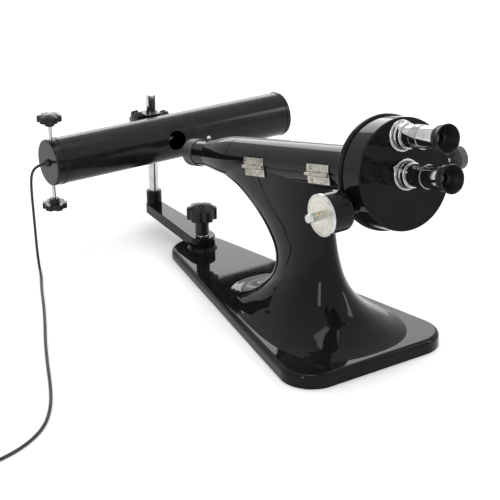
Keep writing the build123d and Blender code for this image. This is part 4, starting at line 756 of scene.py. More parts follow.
def makePolariserTube():
    sizes = noseSizes
    piece = turnPiece("polariserTube", [
        (sizes["tubeInner"], -sizes["tubeEnd"]), (sizes["tubeOuter"], -sizes["tubeEnd"]),
        (sizes["tubeOuter"], -sizes["tubeStart"]), (sizes["tubeInner"], -sizes["tubeStart"]),
        (sizes["tubeInner"], -sizes["tubeEnd"])], steps=128)
    slot = openPiece("slot", "cube", size=1 * mm, location=(0, sizes["tubeOuter"] * mm, -sizes["lever"] * mm))
    bpy.ops.transform.resize(value=(sizes["slotLong"], 12.0, sizes["slotWide"]))
    closePiece(slot)
    cutWith(piece, slot)
    softenEdges(piece, 0.25)
    placePiece(piece, opticPlace)
    return finishPiece(piece, "stand", enamel, "enamel", "polariser_tube")


def makePolariserRim():
    sizes = noseSizes
    outline = roundOutline([
        (sizes["lensRadius"], -sizes["rimEnd"]), (sizes["rimRadius"], -sizes["rimEnd"]),
        (sizes["rimRadius"], -sizes["tubeEnd"]), (sizes["tubeInner"], -sizes["tubeEnd"]),
        (sizes["tubeInner"], -sizes["sleeve"]), (sizes["rimBore"], -sizes["sleeve"]),
        (sizes["rimBore"], -sizes["lensSeat"]), (sizes["lensRadius"], -sizes["lensSeat"])], {1: 1.5, 2: 0.8})
    piece = turnPiece("polariserRim", [*outline, outline[0]], opticPlace, 128)
    softenEdges(piece, 0)
    return finishPiece(piece, "stand", dullPaint, "rim_paint", "polariser_rim")


def makeCondenser():
    sizes = noseSizes
    edge, radius = -sizes["lensSeat"], sizes["lensRadius"]
    bulge = [(radius * share, -sizes["lensFront"] - sizes["lensBulge"] * (1 - share ** 2))
             for share in (1.0, 0.85, 0.7, 0.5, 0.3, 0.15, 0.0)]
    piece = turnPiece("condenserLens", [(0, edge), (radius - 0.05, edge), *bulge], opticPlace, 96)
    softenEdges(piece, 0)
    return finishPiece(piece, "stand", glass, "glass", "condenser_lens")


def makeShadeLever():
    sizes = noseSizes
    ball = arcPoints((0, sizes["ballReach"]), sizes["ball"], -63, 90, 14)
    outline = [(0, sizes["pinStart"]), (sizes["pin"], sizes["pinStart"]),
               (sizes["pin"], sizes["ballReach"] - 2.4), *ball[1:]]
    place = opticPlace @ shifted(0, 0, -sizes["lever"]) @ Matrix.Rotation(math.radians(-90), 4, "X")
    piece = turnPiece("shadeLever", outline, place, 48)
    softenEdges(piece, 0)
    return finishPiece(piece, "half_shade", chrome, "chrome", "shade_lever")


makeNose()
makePolariserTube()
makePolariserRim()
makeCondenser()
makeShadeLever()
print("polariser end made")


# lid and hinges

lidSizes = {"radius": 25.6, "wall": 3.0, "low": -283.6, "high": -0.4, "gap": 0.3}


def makeLid():
    sizes = lidSizes
    inner = sizes["radius"] - sizes["wall"]
    outline = roundOutline([(inner, sizes["low"]), (sizes["radius"], sizes["low"]),
                            (sizes["radius"], sizes["high"]), (inner, sizes["high"])], {1: 0.8, 2: 0.8}, 4)
    piece = turnPiece("lid", [*outline, outline[0]], steps=160)
    cutLevel(piece, optic["parting"] + sizes["gap"], keepAbove=True)
    softenEdges(piece, 0.5, 3)
    placePiece(piece, opticPlace)
    return finishPiece(piece, "lid_body", enamel, "enamel", "lid")


def copyNode(nodeName, pieceName, edge, segments=3):
    # the part's own shape, merged and given soft edges
    node = bpy.data.objects[nodeName]
    piece = bpy.data.objects.new(pieceName, node.data.copy())
    bpy.context.scene.collection.objects.link(piece)
    piece.matrix_world = node.matrix_world
    makeActive(piece)
    bpy.ops.object.transform_apply(location=True, rotation=True, scale=True)
    bpy.ops.object.mode_set(mode="EDIT")
    bpy.ops.mesh.select_all(action="SELECT")
    bpy.ops.mesh.customdata_custom_splitnormals_clear()
    bpy.ops.mesh.remove_doubles(threshold=0.002 * mm)
    bpy.ops.mesh.dissolve_limited(angle_limit=math.radians(0.8))
    bpy.ops.mesh.normals_make_consistent(inside=False)
    bpy.ops.object.mode_set(mode="OBJECT")
    softenEdges(piece, edge, segments)
    return piece


makeLid()
finishPiece(copyNode("hinge_leaves_lower", "hingeLeavesLower", 0.22), "stand", nickel, "nickel",
            "hinge_leaves_lower")
finishPiece(copyNode("hinge_leaves_upper", "hingeLeavesUpper", 0.22), "lid_body", nickel, "nickel",
            "hinge_leaves_upper")
finishPiece(copyNode("hinge_pins", "hingePins", 0.25), "stand", nickel, "nickel", "hinge_pins")
finishPiece(copyNode("hinge_screws_lower", "hingeScrewsLower", 0.08, 2), "stand", nickel, "nickel",
            "hinge_screws_lower")
finishPiece(copyNode("hinge_screws_upper", "hingeScrewsUpper", 0.08, 2), "lid_body", nickel, "nickel",
            "hinge_screws_upper")
print("lid and hinges made")


# analyser head

headSizes = {"plateRadius": 62.6, "plate": 7.0, "bead": 2.5, "beam": 10.5, "register": 57.4,
             "registerTop": 10.0, "registerWide": 5.4, "boss": 18.0, "bossTop": 8.7, "bearing": 14.05,
             "drum": 60.0, "wall": 2.6, "depth": 36.8, "edge": 1.6, "lock": 21.0, "lockBoss": 6.5,
             "lockReach": 4.0, "lockBore": 2.65, "spigot": 14.8, "upper": 41.0,
             "drive": (12.0, 25.5), "neck": 8.0,
             "shaftBore": 3.05, "shaftRun": (-62, 48), "lugX": 23.0, "lugZ": 11.4, "lug": (6.0, 13.0, 10.8)}


def alongXAt(depth, drop):
    return shifted(0, -drop, depth) @ alongX


def makeBackPlate():
    sizes = headSizes
    inner = sizes["register"] - sizes["registerWide"]
    outline = roundOutline([
        (sizes["beam"], 0), (sizes["plateRadius"], 0), (sizes["plateRadius"], sizes["plate"]),
        (sizes["register"] - 0.02, sizes["plate"]), (sizes["register"] - 0.02, sizes["registerTop"]),
        (inner, sizes["registerTop"]), (inner, sizes["plate"]), (sizes["boss"], sizes["plate"]),
        (sizes["boss"], sizes["bossTop"]), (sizes["bearing"], sizes["bossTop"]), (sizes["bearing"], 1.0),
        (sizes["beam"], 1.0)], {1: sizes["bead"], 2: sizes["bead"]}, 8)
    piece = turnPiece("backPlate", [*outline, outline[0]], steps=192)
    cutWith(piece, holeTool(sizes["shaftBore"], *sizes["shaftRun"], alongXAt(*sizes["drive"])))
    cutWith(piece, holeTool(sizes["neck"], -120, -46, alongXAt(*sizes["drive"])))
    softenEdges(piece, 0)
    lugs = []
    for side in (-1, 1):
        lug = openPiece("bearingLug", "cube", size=1 * mm,
                        location=(side * sizes["lugX"] * mm, -sizes["drive"][1] * mm, sizes["lugZ"] * mm))
        bpy.ops.transform.resize(value=sizes["lug"])
        closePiece(lug)
        cutWith(lug, holeTool(sizes["shaftBore"], *sizes["shaftRun"], alongXAt(*sizes["drive"])))
        softenEdges(lug, 0.4)
        lugs.append(lug)
    joinPieces(piece, *lugs)
    placePiece(piece, opticPlace)
    return finishPiece(piece, "stand", enamel, "enamel", "back_plate")


def makeDrum():
    sizes = headSizes
    inner = sizes["drum"] - sizes["wall"]
    front = sizes["depth"]
    outline = roundOutline([
        (0, front - sizes["wall"]), (inner, front - sizes["wall"]), (inner, sizes["plate"]),
        (sizes["drum"], sizes["plate"]), (sizes["drum"], front), (0, front)],
        {3: 0.5, 4: sizes["edge"]}, 8)
    piece = turnPiece("drumCover", outline, steps=192)
    boss = turnPiece("lockBoss", roundOutline([
        (0, inner - 1.5), (sizes["lockBoss"], inner - 1.5),
        (sizes["lockBoss"], sizes["drum"] + sizes["lockReach"]),
        (0, sizes["drum"] + sizes["lockReach"])], {2: 0.7}), alongXAt(sizes["lock"], 0), 64)
    cutWith(piece, boss, "UNION")
    cutWith(piece, holeTool(sizes["lockBore"], 40, 90, alongXAt(sizes["lock"], 0)))
    for rise in (0, sizes["upper"]):
        cutWith(piece, holeTool(sizes["spigot"], front - 6, front + 1, shifted(0, rise, 0)))
    cutWith(piece, holeTool(1.5, front - 6, front + 1, shifted(-15.6, 9.75, 0), 32))
    cutWith(piece, holeTool(sizes["neck"], -120, -46, alongXAt(*sizes["drive"])))
    softenEdges(piece, 0)
    placePiece(piece, opticPlace)
    return finishPiece(piece, "stand", enamel, "enamel", "drum_cover")


flangeSizes = {"bore": 12.15, "spigot": 14.75, "radius": 16.8, "flat": 3.0, "cone": 15.0, "neck": 13.8,
               "length": 13.2, "screwTurn": 148.0, "screwReach": 18.4, "screwRadius": 3.0}


def makeFlanges():
    low = headSizes["depth"]
    sizes = flangeSizes
    flat, top = low + sizes["flat"], low + sizes["length"]
    outline = roundOutline([
        (sizes["bore"], low - 5), (sizes["spigot"], low - 5), (sizes["spigot"], low), (sizes["radius"], low),
        (sizes["radius"], flat), (sizes["cone"], flat), (sizes["cone"] - 0.4, flat + 3),
        (sizes["neck"], flat + 5), (sizes["neck"], top), (sizes["bore"], top)],
        {4: 1.0, 6: 0.8, 7: 0.8, 8: 0.8})
    flanges = []
    for rise in (0, headSizes["upper"]):
        flanges.append(turnPiece("eyepieceFlanges", [*outline, outline[0]], shifted(0, rise, 0), 128))
        softenEdges(flanges[-1], 0)
    joinPieces(*flanges)
    flanges[0].name = "eyepieceFlanges"
    placePiece(flanges[0], opticPlace)
    return finishPiece(flanges[0], "stand", chrome, "chrome", "eyepiece_flanges")


def makeFlangeScrew():
    turn = math.radians(flangeSizes["screwTurn"])
    reach = flangeSizes["screwReach"]
    low = headSizes["depth"] + 3.0
    outline = roundOutline([(0, 34.2), (1.45, 34.2), (1.45, low), (3.0, low), (3.0, low + 3.2), (0, low + 3.2)],
                           {4: 0.6})
    piece = turnPiece("flangeScrew", outline, steps=48)
    slot = openPiece("slot", "cube", size=1 * mm, location=(0, 0, (low + 3.2) * mm))
    bpy.ops.transform.resize(value=(0.8, 10.0, 1.6))
    closePiece(slot)
    cutWith(piece, slot)
    softenEdges(piece, 0.1)
    place = shifted(reach * math.cos(turn), reach * math.sin(turn), 0)
    placePiece(piece, opticPlace @ place)
    return finishPiece(piece, "stand", chrome, "chrome", "flange_screw")


makeBackPlate()
makeDrum()
makeFlanges()
makeFlangeScrew()
print("analyser head made")


# eyepieces

eyeSizes = {"bore": 10.4, "tube": 12.1, "start": 32.5, "gripStart": 63.5, "gripEnd": 74.5, "grip": 12.9,
            "ribs": 90, "cupStart": 100.0, "cupEnd": 112.3, "lensEnd": 96.0, "spigot": 11.0,
            "spigotEnd": 102.0, "lens": 9.0, "ring": 13.5, "ringLength": 4.0, "cup": 15.3, "aperture": 5.5}


def makeKnurl(name, radius, depth, low, high, ribs, place):
    # fine ribs around a collar
    piece = openPiece(name, "circle", vertices=ribs * 4, radius=radius * mm, fill_type="NGON",
                      location=(0, 0, low * mm))
    bpy.ops.object.mode_set(mode="OBJECT")
    for number, vertex in enumerate(piece.data.vertices):
        if number % 4 in (0, 1):
            vertex.co.x *= 1 - depth / radius
            vertex.co.y *= 1 - depth / radius
    bpy.ops.object.mode_set(mode="EDIT")
    bpy.ops.mesh.select_all(action="SELECT")
    bpy.ops.mesh.extrude_region_move(TRANSFORM_OT_translate={"value": (0, 0, (high - low) * mm)})
    tidyMesh()
    return closePiece(piece, place)


def makeEyepiece(name, rise, body):
    sizes = eyeSizes
    lensEnd = sizes["lensEnd"]
    place = shifted(0, rise, 0)
    outline = roundOutline([
        (sizes["bore"], sizes["start"]), (sizes["tube"], sizes["start"]), (sizes["tube"], sizes["gripStart"]),
        (sizes["grip"] - 0.35, sizes["gripStart"] + 0.1), (sizes["grip"] - 0.35, sizes["gripEnd"] - 0.1),
        (sizes["tube"], sizes["gripEnd"]), (sizes["tube"], sizes["cupStart"]),
        (sizes["spigot"], sizes["cupStart"]), (sizes["spigot"], sizes["spigotEnd"]),
        (sizes["bore"], sizes["spigotEnd"]), (sizes["bore"], lensEnd), (sizes["lens"], lensEnd),
        (sizes["lens"], lensEnd - 3.5), (sizes["lens"] - 1.2, lensEnd - 3.5),
        (sizes["lens"] - 1.2, lensEnd - 5.5), (sizes["bore"], lensEnd - 7.5)], {})
    tube = turnPiece(name + "Tube", [*outline, outline[0]], place, 128)
    softenEdges(tube, 0.15)
    knurl = makeKnurl(name + "Knurl", sizes["grip"], 0.4, sizes["gripStart"], sizes["gripEnd"], sizes["ribs"],
                      place)
    cutWith(knurl, holeTool(sizes["bore"], sizes["gripStart"] - 1, sizes["gripEnd"] + 1, place))
    softenEdges(knurl, 0, smooth=20)
    joinPieces(tube, knurl)
    placePiece(tube, opticPlace)
    finishPiece(tube, body, chrome, "chrome", body.replace("eyepiece", "eyetube"))
    lens = turnPiece(name + "Lens", [(0, 92.5), (sizes["lens"] - 0.03, 92.5), (sizes["lens"] - 0.03, 96.0),
                                     (5.2, 96.0), (4.2, 96.35), (2.9, 96.65), (1.4, 96.85), (0, 96.9)], place, 96)
    softenEdges(lens, 0)
    placePiece(lens, opticPlace)
    finishPiece(lens, body, glass, "glass", body.replace("eyepiece", "eye_lens"))
    ringEnd, web = sizes["cupStart"] + sizes["ringLength"], lensEnd + 2
    flare = smoothLine([(sizes["ring"] - 0.3, ringEnd + 0.6), (13.8, 107.0), (14.6, 109.6), (15.1, 110.8)], 4)
    hollow = smoothLine([(13.9, 111.6), (12.5, 108.2), (9.6, 102.8), (sizes["aperture"] + 1.5, web + 1.3)], 4)
    cup = turnPiece(name + "Cup", [
        (sizes["spigot"] + 0.02, sizes["cupStart"]), (sizes["ring"] - 0.5, sizes["cupStart"]),
        (sizes["ring"], sizes["cupStart"] + 0.5), (sizes["ring"], ringEnd - 0.4), (sizes["ring"] - 0.5, ringEnd),
        *flare, (sizes["cup"], 111.4), (sizes["cup"] - 0.25, sizes["cupEnd"]), (14.4, sizes["cupEnd"]),
        *hollow, (sizes["aperture"], web), (sizes["aperture"], lensEnd + 0.02),
        (sizes["bore"] - 0.05, lensEnd + 0.02), (sizes["bore"] - 0.05, sizes["spigotEnd"] + 0.05),
        (sizes["spigot"] + 0.02, sizes["spigotEnd"] + 0.05), (sizes["spigot"] + 0.02, sizes["cupStart"])],
        place, 128)
    softenEdges(cup, 0)
    placePiece(cup, opticPlace)
    finishPiece(cup, body, hardRubber, "eyecup_plastic", body.replace("eyepiece", "eyecup"))


makeEyepiece("lower", 0.0, "lower_eyepiece")
makeEyepiece("upper", headSizes["upper"], "upper_eyepiece")
print("eyepieces made")


# fine drive and circle lock

driveSizes = {"housing": 21.5, "bore": 18.0, "left": -91.0, "right": -64.0, "shoulder": 7.0, "neck": 7.98,
              "neckEnd": -46.0, "floor": -72.0, "shaft": 3.05, "dial": 22.7, "dialRight": -91.6,
              "dialLeft": -95.1, "hub": 8.0, "hubEnd": -85.6, "rimStep": 0.5, "stub": 4.6, "stubLength": 17.0,
              "rings": (14.6, 20.2)}


def makeDriveHousing():
    sizes = driveSizes
    outline = roundOutline([
        (sizes["bore"], sizes["left"]), (sizes["housing"], sizes["left"]), (sizes["housing"], sizes["right"]),
        (sizes["neck"], sizes["right"]), (sizes["neck"], sizes["neckEnd"]), (sizes["shaft"], sizes["neckEnd"]),
        (sizes["shaft"], sizes["floor"]), (sizes["bore"], sizes["floor"])],
        {0: 0.4, 1: 0.8, 2: sizes["shoulder"], 3: 2.0}, 10)
    piece = turnPiece("driveHousing", [*outline, outline[0]], drivePlace, 160)
    softenEdges(piece, 0)
    return finishPiece(piece, "stand", enamel, "enamel", "drive_housing")


def makeDriveDial():
    sizes = driveSizes
    left, right = sizes["dialLeft"], sizes["dialRight"]
    face = [(3.02, left), (sizes["rings"][0] - 0.3, left), (sizes["rings"][0] - 0.15, left + 0.28),
            (sizes["rings"][0] + 0.15, left + 0.28), (sizes["rings"][0] + 0.3, left),
            (sizes["rings"][1] - 0.3, left), (sizes["rings"][1] - 0.15, left + 0.28),
            (sizes["rings"][1] + 0.15, left + 0.28), (sizes["rings"][1] + 0.3, left),
            (sizes["dial"] - 1.6, left), (sizes["dial"] - 1.4, left - sizes["rimStep"] + 0.1),
            (sizes["dial"] - 1.2, left - sizes["rimStep"])]
    rim = [*arcPoints((sizes["dial"] - 0.5, left), 0.5, -90, 0, 4), (sizes["dial"], right - 0.6),
           (sizes["dial"] - 0.6, right), (sizes["hub"], right), (sizes["hub"], sizes["hubEnd"]),
           (3.02, sizes["hubEnd"]), face[0]]
    piece = turnPiece("driveDial", [*face, *rim], steps=160)
    softenEdges(piece, 0, smooth=24)
    finishPiece(piece, "fine_drive", dialMetal, "dial", "drive_dial")
    piece.data.materials.append(chrome)
    for face in piece.data.polygons:
        if math.hypot(face.center.x, face.center.y) > (sizes["dial"] - 1.5) * mm:
            face.material_index = 1
    placePiece(piece, drivePlace)
    return piece


def makeStub():
    sizes = driveSizes
    left = sizes["dialLeft"]
    outline = roundOutline([(0, left - sizes["stubLength"]), (sizes["stub"], left - sizes["stubLength"]),
                            (sizes["stub"], left), (0, left)], {1: 0.9})
    piece = turnPiece("driveStub", outline, drivePlace, 96)
    aim = (drivePlace @ alongX.inverted() @ shifted(left - 4.0, 0, 0)
           @ Matrix.Rotation(math.radians(-38), 4, "X"))
    cutWith(piece, holeTool(1.5, 2.0, 6.0, aim, 32))
    softenEdges(piece, 0)
    finishPiece(piece, "fine_drive", chrome, "chrome", "drive_stub")
    screw = turnPiece("stubScrew", roundOutline([(0, 2.0), (1.5, 2.0), (1.5, 5.1), (0, 5.1)], {2: 0.3}), steps=32)
    slot = openPiece("slot", "cube", size=1 * mm, location=(0, 0, 5.1 * mm))
    bpy.ops.transform.resize(value=(0.45, 6.0, 0.9))
    closePiece(slot)
    cutWith(screw, slot)
    softenEdges(screw, 0)
    placePiece(screw, aim)
    return finishPiece(screw, "fine_drive", brass, "brass", "stub_screw")


lockSizes = {"shaft": 2.6, "start": 49.0, "end": 84.2, "knobStart": 77.0, "knobEnd": 89.0, "foot": 7.8,
             "knob": 13.0, "cone": 2.5, "fit": 0.02}


def makeLock():
    sizes = lockSizes
    radius, end, bore = sizes["shaft"], sizes["end"], sizes["shaft"] + sizes["fit"]
    shaft = turnPiece("lockScrew", roundOutline([
        (0, sizes["start"]), (radius, sizes["start"]), (radius, end), (0, end)], {1: 0.5}), lockPlace, 64)
    softenEdges(shaft, 0)
    finishPiece(shaft, "circle_lock", chrome, "chrome", "lock_screw")
    outline = roundOutline([
        (bore, sizes["knobStart"]), (sizes["foot"], sizes["knobStart"]),
        (sizes["knob"], sizes["knobStart"] + sizes["cone"]), (sizes["knob"], sizes["knobEnd"]),
        (0, sizes["knobEnd"]), (0, end), (bore, end)], {1: 0.8, 2: 1.2, 3: 1.5})
    knob = turnPiece("lockKnob", [*outline, outline[0]], lockPlace, 96)
    softenEdges(knob, 0)
    return finishPiece(knob, "circle_lock", greyKnob, "dark_knob", "lock_knob")


makeDriveHousing()
makeDriveDial()
makeStub()
makeLock()
print("fine drive and lock made")


# arm, rod, collar and clamp

armSizes = {"clampEnd": (0.0, 173.0, 17.0), "rodEnd": (3.9, 307.97, 11.5), "low": 17.0, "high": 30.5,
            "edge": 1.2, "rod": 7.0, "rodFoot": 21.5, "rodTop": 189.0,
            "collar": 10.6, "collarTop": 50.0, "stud": 5.0,
            "washer": 9.2, "washerThick": 1.6, "washerBore": 5.02}
clampKnobSizes = {"diameter": 40.0, "height": 20.0, "neck": 22.0, "neckRadius": 9.0}


def makeArm():
    sizes = armSizes
    piece = hullSlab("arm", [sizes["clampEnd"], sizes["rodEnd"]], 144, sizes["low"], sizes["high"])
    bpy.ops.mesh.select_all(action="SELECT")
    bpy.ops.mesh.normals_make_consistent(inside=False)
    bpy.ops.mesh.select_mode(type="FACE")
    bpy.ops.mesh.select_all(action="DESELECT")
    bpy.ops.object.mode_set(mode="OBJECT")
    for face in piece.data.polygons:
        face.select = face.normal.z > 0.9
    bpy.ops.object.mode_set(mode="EDIT")
    bpy.ops.mesh.bevel(offset=sizes["edge"] * mm, segments=4, affect="EDGES")
    bpy.ops.mesh.select_mode(type="VERT")
    tidyMesh()
    closePiece(piece)
    cutWith(piece, holeTool(sizes["stud"] + 0.05, sizes["low"] - 1, sizes["high"] + 1,
                            shifted(*sizes["clampEnd"][:2])))
    cutWith(piece, holeTool(sizes["rod"] + 0.01, sizes["high"] - 9, sizes["high"] + 1,
                            shifted(*sizes["rodEnd"][:2])))
    softenEdges(piece, 0)
    return finishPiece(piece, "lamp_arm", enamel, "enamel", "arm")


def makeRod():
    sizes = armSizes
    place = shifted(*sizes["rodEnd"][:2])
    radius, foot, tip = sizes["rod"], sizes["rodFoot"], sizes["rodTop"]
    rod = turnPiece("lampRod", roundOutline([(0, foot), (radius, foot), (radius, tip), (0, tip)], {2: 1.2}),
                    place, 96)
    softenEdges(rod, 0)
    finishPiece(rod, "lamp_arm", chrome, "chrome", "lamp_rod")
    outer, top = sizes["collar"], sizes["collarTop"]
    outline = roundOutline([(7.02, sizes["high"]), (outer, sizes["high"]),
                            (outer, top - 7), (outer - 0.9, top - 6.4),
                            (outer - 0.9, top - 5.6), (outer, top - 5), (outer, top), (7.02, top)],
                           {1: 0.4, 2: 0.4, 5: 0.4, 6: 1.2})
    collar = turnPiece("rodCollar", [*outline, outline[0]], place, 96)
    softenEdges(collar, 0)
    return finishPiece(collar, "lamp_arm", enamel, "enamel", "rod_collar")


def makeClamp():
    sizes = armSizes
    bore, outer = sizes["washerBore"], sizes["washer"]
    foot, top = sizes["high"], sizes["high"] + sizes["washerThick"]
    x, y, radius = sizes["clampEnd"]
    washer = turnPiece("clampWasher", [*roundOutline([
        (bore, foot), (outer, foot), (outer, top), (bore, top)], {1: 0.3, 2: 0.5}), (bore, foot)],
        shifted(x, y), 96)
    softenEdges(washer, 0)
    finishPiece(washer, "clamp", chrome, "chrome", "clamp_washer")
    knob = starKnob("clampKnob", place=shifted(x, y, top), **clampKnobSizes)
    return finishPiece(knob, "clamp", knobResin, "knob_plastic", "clamp_knob")


makeArm()
makeRod()
makeClamp()
print("arm and clamp made")


# lamp carriage

carriageSizes = {"left": -8.6, "right": 14.0, "front": 296.97, "back": 319.97, "low": 141.0, "high": 163.0,
                 "edge": 2.5, "rodX": 3.9, "rodY": 307.97, "screwZ": 153.0, "boltZ": 150.0,
                 "screwBore": 3.05, "screwX": -8.9, "boltX": 18.7}


def makeBlock():
    sizes = carriageSizes
    radius, rodY = sizes["edge"], sizes["rodY"]
    corners = [(x, y, radius) for x in (sizes["left"] + radius, sizes["right"] - radius)
               for y in (sizes["front"] + radius, sizes["back"] - radius)]
    piece = hullSlab("rodBlock", corners, 48, sizes["low"], sizes["high"])
    tidyMesh()
    closePiece(piece)
    cutWith(piece, holeTool(armSizes["rod"] + 0.05, 100, 200, shifted(sizes["rodX"], rodY)))
    cutWith(piece, holeTool(sizes["screwBore"], -30, 3, shifted(0, rodY, sizes["screwZ"]) @ alongX, 48))
    cutWith(piece, holeTool(sizes["screwBore"], 12.0, 40, shifted(0, rodY, sizes["boltZ"]) @ alongX, 48))
    softenEdges(piece, 0.6, 3)
    return finishPiece(piece, "carriage", enamel, "enamel", "rod_block")


def makeSideKnob(name, diameter, height, neck, reach, place, body, node):
    knob = starKnob(name, diameter, height, neck, diameter * 0.2, shifted())
    thread = turnPiece(name + "Thread", [(0, -reach), (2.6, -reach), (3.0, 0.5 - reach), (3.0, neck), (0, neck)],
                       steps=48)
    softenEdges(thread, 0)
    joinPieces(knob, thread)
    placePiece(knob, place)
    return finishPiece(knob, body, knobResin, "knob_plastic", node)


makeBlock()
onRod = shifted(carriageSizes["screwX"], carriageSizes["rodY"], carriageSizes["screwZ"]) @ alongLeft
onBolt = shifted(carriageSizes["boltX"], carriageSizes["rodY"], carriageSizes["boltZ"]) @ alongX
makeSideKnob("rodKnob", 32.0, 11.0, 5.0, 5.2, onRod, "rod_screw", "rod_knob")
makeSideKnob("tiltKnob", 24.0, 8.0, 3.0, 5.9, onBolt, "tilt_screw", "tilt_knob")
finishPiece(copyNode("lamp_saddle", "lampSaddle", 0.4), "lamp", enamel, "enamel", "lamp_saddle")
print("carriage made")


# lamp

lampSizes = {"radius": 30.2, "wall": 1.6, "left": -174.9, "capRight": -162.9, "tubeRight": 180.0,
             "right": 183.2, "bead": 0.7, "beadWide": 3.0, "hole": 13.0, "holeTilt": 8.0, "socket": 14.0,
             "socketEnd": -136.9, "socketFloor": -148.9, "base": 10.5, "cordBore": 1.8, "screwX": -169.0}


def makeLampTube():
    sizes = lampSizes
    inner, bead = sizes["radius"] - sizes["wall"], sizes["radius"] + sizes["bead"]
    low, high = sizes["capRight"], sizes["tubeRight"]
    outline = roundOutline([
        (inner, low), (bead, low), (bead, low + sizes["beadWide"]),
        (sizes["radius"], low + sizes["beadWide"]),
        (sizes["radius"], high - sizes["beadWide"]),
        (bead, high - sizes["beadWide"]), (bead, high), (inner, high)],
        {1: 0.65, 2: 0.65, 3: 0.6, 4: 0.6, 5: 0.65, 6: 0.65})
    piece = turnPiece("lampTube", [*outline, outline[0]], lampPlace, 160)
    aim = shifted(0, *lampAxis) @ Matrix.Rotation(math.radians(90 - sizes["holeTilt"]), 4, "X")
    cutWith(piece, holeTool(sizes["hole"], 4, 60, aim, 96))
    softenEdges(piece, 0.3, 2)
    return finishPiece(piece, "lamp", lampEnamel, "enamel_lamp", "lamp_tube")


def makeLampCaps():
    sizes = lampSizes
    inner, left = sizes["radius"] - sizes["wall"], sizes["left"]
    bore = sizes["cordBore"]
    outline = roundOutline([
        (bore, left), (sizes["radius"], left), (sizes["radius"], sizes["capRight"]), (inner, sizes["capRight"]),
        (inner, sizes["capRight"] + 8),
        (sizes["socket"], sizes["capRight"] + 8), (sizes["socket"], sizes["socketEnd"]),
        (sizes["base"], sizes["socketEnd"]), (sizes["base"], sizes["socketFloor"]),
        (bore, sizes["socketFloor"])], {1: 2.0, 2: 0.3, 5: 2.0})
    cap = turnPiece("socketCap", [*outline, outline[0]], lampPlace, 160)
    for flip in (Matrix.Identity(4), upsideDown):
        cutWith(cap, holeTool(2.45, 25.7, 36, shifted(sizes["screwX"], *lampAxis) @ flip, 48))
    softenEdges(cap, 0)
    finishPiece(cap, "lamp", lampEnamel, "enamel_lamp", "socket_cap")
    outline = roundOutline([
        (0, sizes["tubeRight"] - 8), (inner, sizes["tubeRight"] - 8), (inner, sizes["tubeRight"]),
        (sizes["radius"], sizes["tubeRight"]), (sizes["radius"], sizes["right"]), (0, sizes["right"])], {4: 1.4})
    far = turnPiece("farCap", outline, lampPlace, 160)
    softenEdges(far, 0)
    finishPiece(far, "lamp", lampEnamel, "enamel_lamp", "far_cap")
    bulb = turnPiece("sodiumBulb", [(0, -148.8), (10.4, -148.8), (10.4, -134.0), *smoothLine([
        (10.6, -132.0), (12.4, -129.0), (13.0, -125.0)], 4), (13.0, 34.0),
        *arcPoints((5.0, 33.2), 8.0, 0, 90, 8), (0, 41.2)], lampPlace, 96)
    softenEdges(bulb, 0)
    return finishPiece(bulb, "lamp", glass, "glass", "sodium_bulb")


def makeCapScrew(name, flip, body, side):
    place = shifted(lampSizes["screwX"], *lampAxis) @ flip
    screw = turnPiece(name + "Screw", [(0, 26.2), (2.0, 26.2), (2.4, 26.8), (2.4, 53.2), (0, 53.2)], place, 48)
    softenEdges(screw, 0)
    finishPiece(screw, body, chrome, "chrome", "cap_screw_" + side)
    knob = starKnob(name + "Knob", 32.0, 10.0, 6.0, 6.4, place @ shifted(0, 0, 49.2))
    return finishPiece(knob, body, knobResin, "knob_plastic", "cap_knob_" + side)


def makeGland():
    outline = roundOutline([(1.8, -180.0), (3.4, -180.0), (5.0, -176.4), (5.0, -174.9), (1.8, -174.9)],
                           {1: 0.6, 2: 0.6})
    piece = turnPiece("cordGland", [*outline, outline[0]], lampPlace, 64)
    softenEdges(piece, 0)
    return finishPiece(piece, "lamp", cordSheath, "cord_sheath", "cord_gland")


makeLampTube()
makeLampCaps()
makeCapScrew("capTop", Matrix.Identity(4), "cap_screw_top", "upper")
makeCapScrew("capBottom", upsideDown, "cap_screw_bottom", "lower")
makeGland()
print("lamp made")


# inner works keep their own shapes

keptShapes = {
    "polariser_prism": glass, "shade_ring": brass, "shade_plate": glass, "vernier_plate": dialMetal,
    "analyser_tube": brass, "worm_wheel": brass, "divided_circle": dialMetal, "analyser_prism": glass,
    "worm_shaft": steel, "clamp_stud": steel,
}
for nodeName, material in keptShapes.items():
    for slot in bpy.data.objects[nodeName].material_slots:
        slot.material = material


# studio, white all round

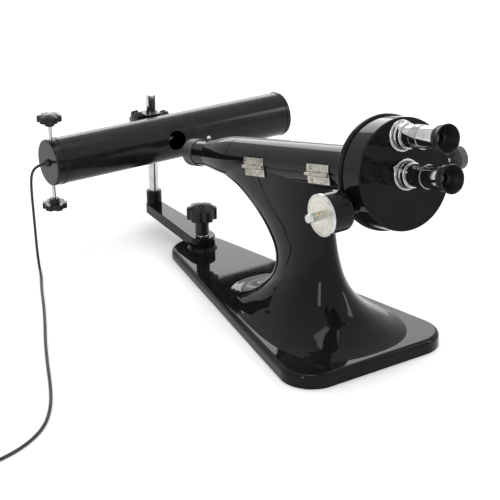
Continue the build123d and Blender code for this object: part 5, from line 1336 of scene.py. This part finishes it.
studio = {"floorSize": 60.0, "floorWhite": 0.93, "worldStrength": 1.0, "worldGrey": 1.0}


def makeStudio():
    bpy.ops.object.select_all(action="DESELECT")
    bpy.ops.mesh.primitive_plane_add(size=studio["floorSize"], location=(0.5, 1.5, 0))
    floor = bpy.context.object
    floor.name = "studioFloor"
    material, nodes, links, shader, coords = startFinish("palePaper")
    shade = rampOn(nodes, links, noiseOn(nodes, links, coords, 3.0),
                   [(0.3, grey(studio["floorWhite"] - 0.01)), (0.7, grey(studio["floorWhite"] + 0.01))])
    links.new(shade, shader.inputs["Base Color"])
    shader.inputs["Roughness"].default_value = 0.6
    shader.inputs["Specular IOR Level"].default_value = 0.2
    floor.data.materials.append(material)
    world = bpy.data.worlds.new("studioWorld")
    bpy.context.scene.world = world
    world.use_nodes = True
    background = world.node_tree.nodes["Background"]
    background.inputs["Color"].default_value = grey(studio["worldGrey"])
    background.inputs["Strength"].default_value = studio["worldStrength"]


softLights = {
    "topLight": {"place": (0.1, 0.0, 1.7), "aim": (0.0, 0.0, 0.1), "size": (0.7, 0.7), "power": 6.0},
    "leftLight": {"place": (-1.3, -0.7, 0.9), "aim": (0.0, 0.0, 0.15), "size": (0.25, 0.9), "power": 5.0},
    "rightLight": {"place": (1.2, -0.9, 0.9), "aim": (0.0, 0.0, 0.15), "size": (0.25, 0.9), "power": 4.0},
    "backLight": {"place": (1.04, 1.76, 0.86), "aim": (0.0, 0.1, 0.02), "size": (1.8, 0.9), "power": 16.0},
}


def makeLights():
    for name, setup in softLights.items():
        data = bpy.data.lights.new(name, "AREA")
        data.shape = "RECTANGLE"
        data.size, data.size_y = setup["size"]
        data.energy = setup["power"]
        light = bpy.data.objects.new(name, data)
        light.location = setup["place"]
        toward = Vector(setup["aim"]) - Vector(setup["place"])
        light.rotation_euler = toward.to_track_quat("-Z", "Y").to_euler()
        bpy.context.scene.collection.objects.link(light)


makeStudio()
makeLights()
bpy.context.scene.view_settings.view_transform = "Standard"
print("studio ready")
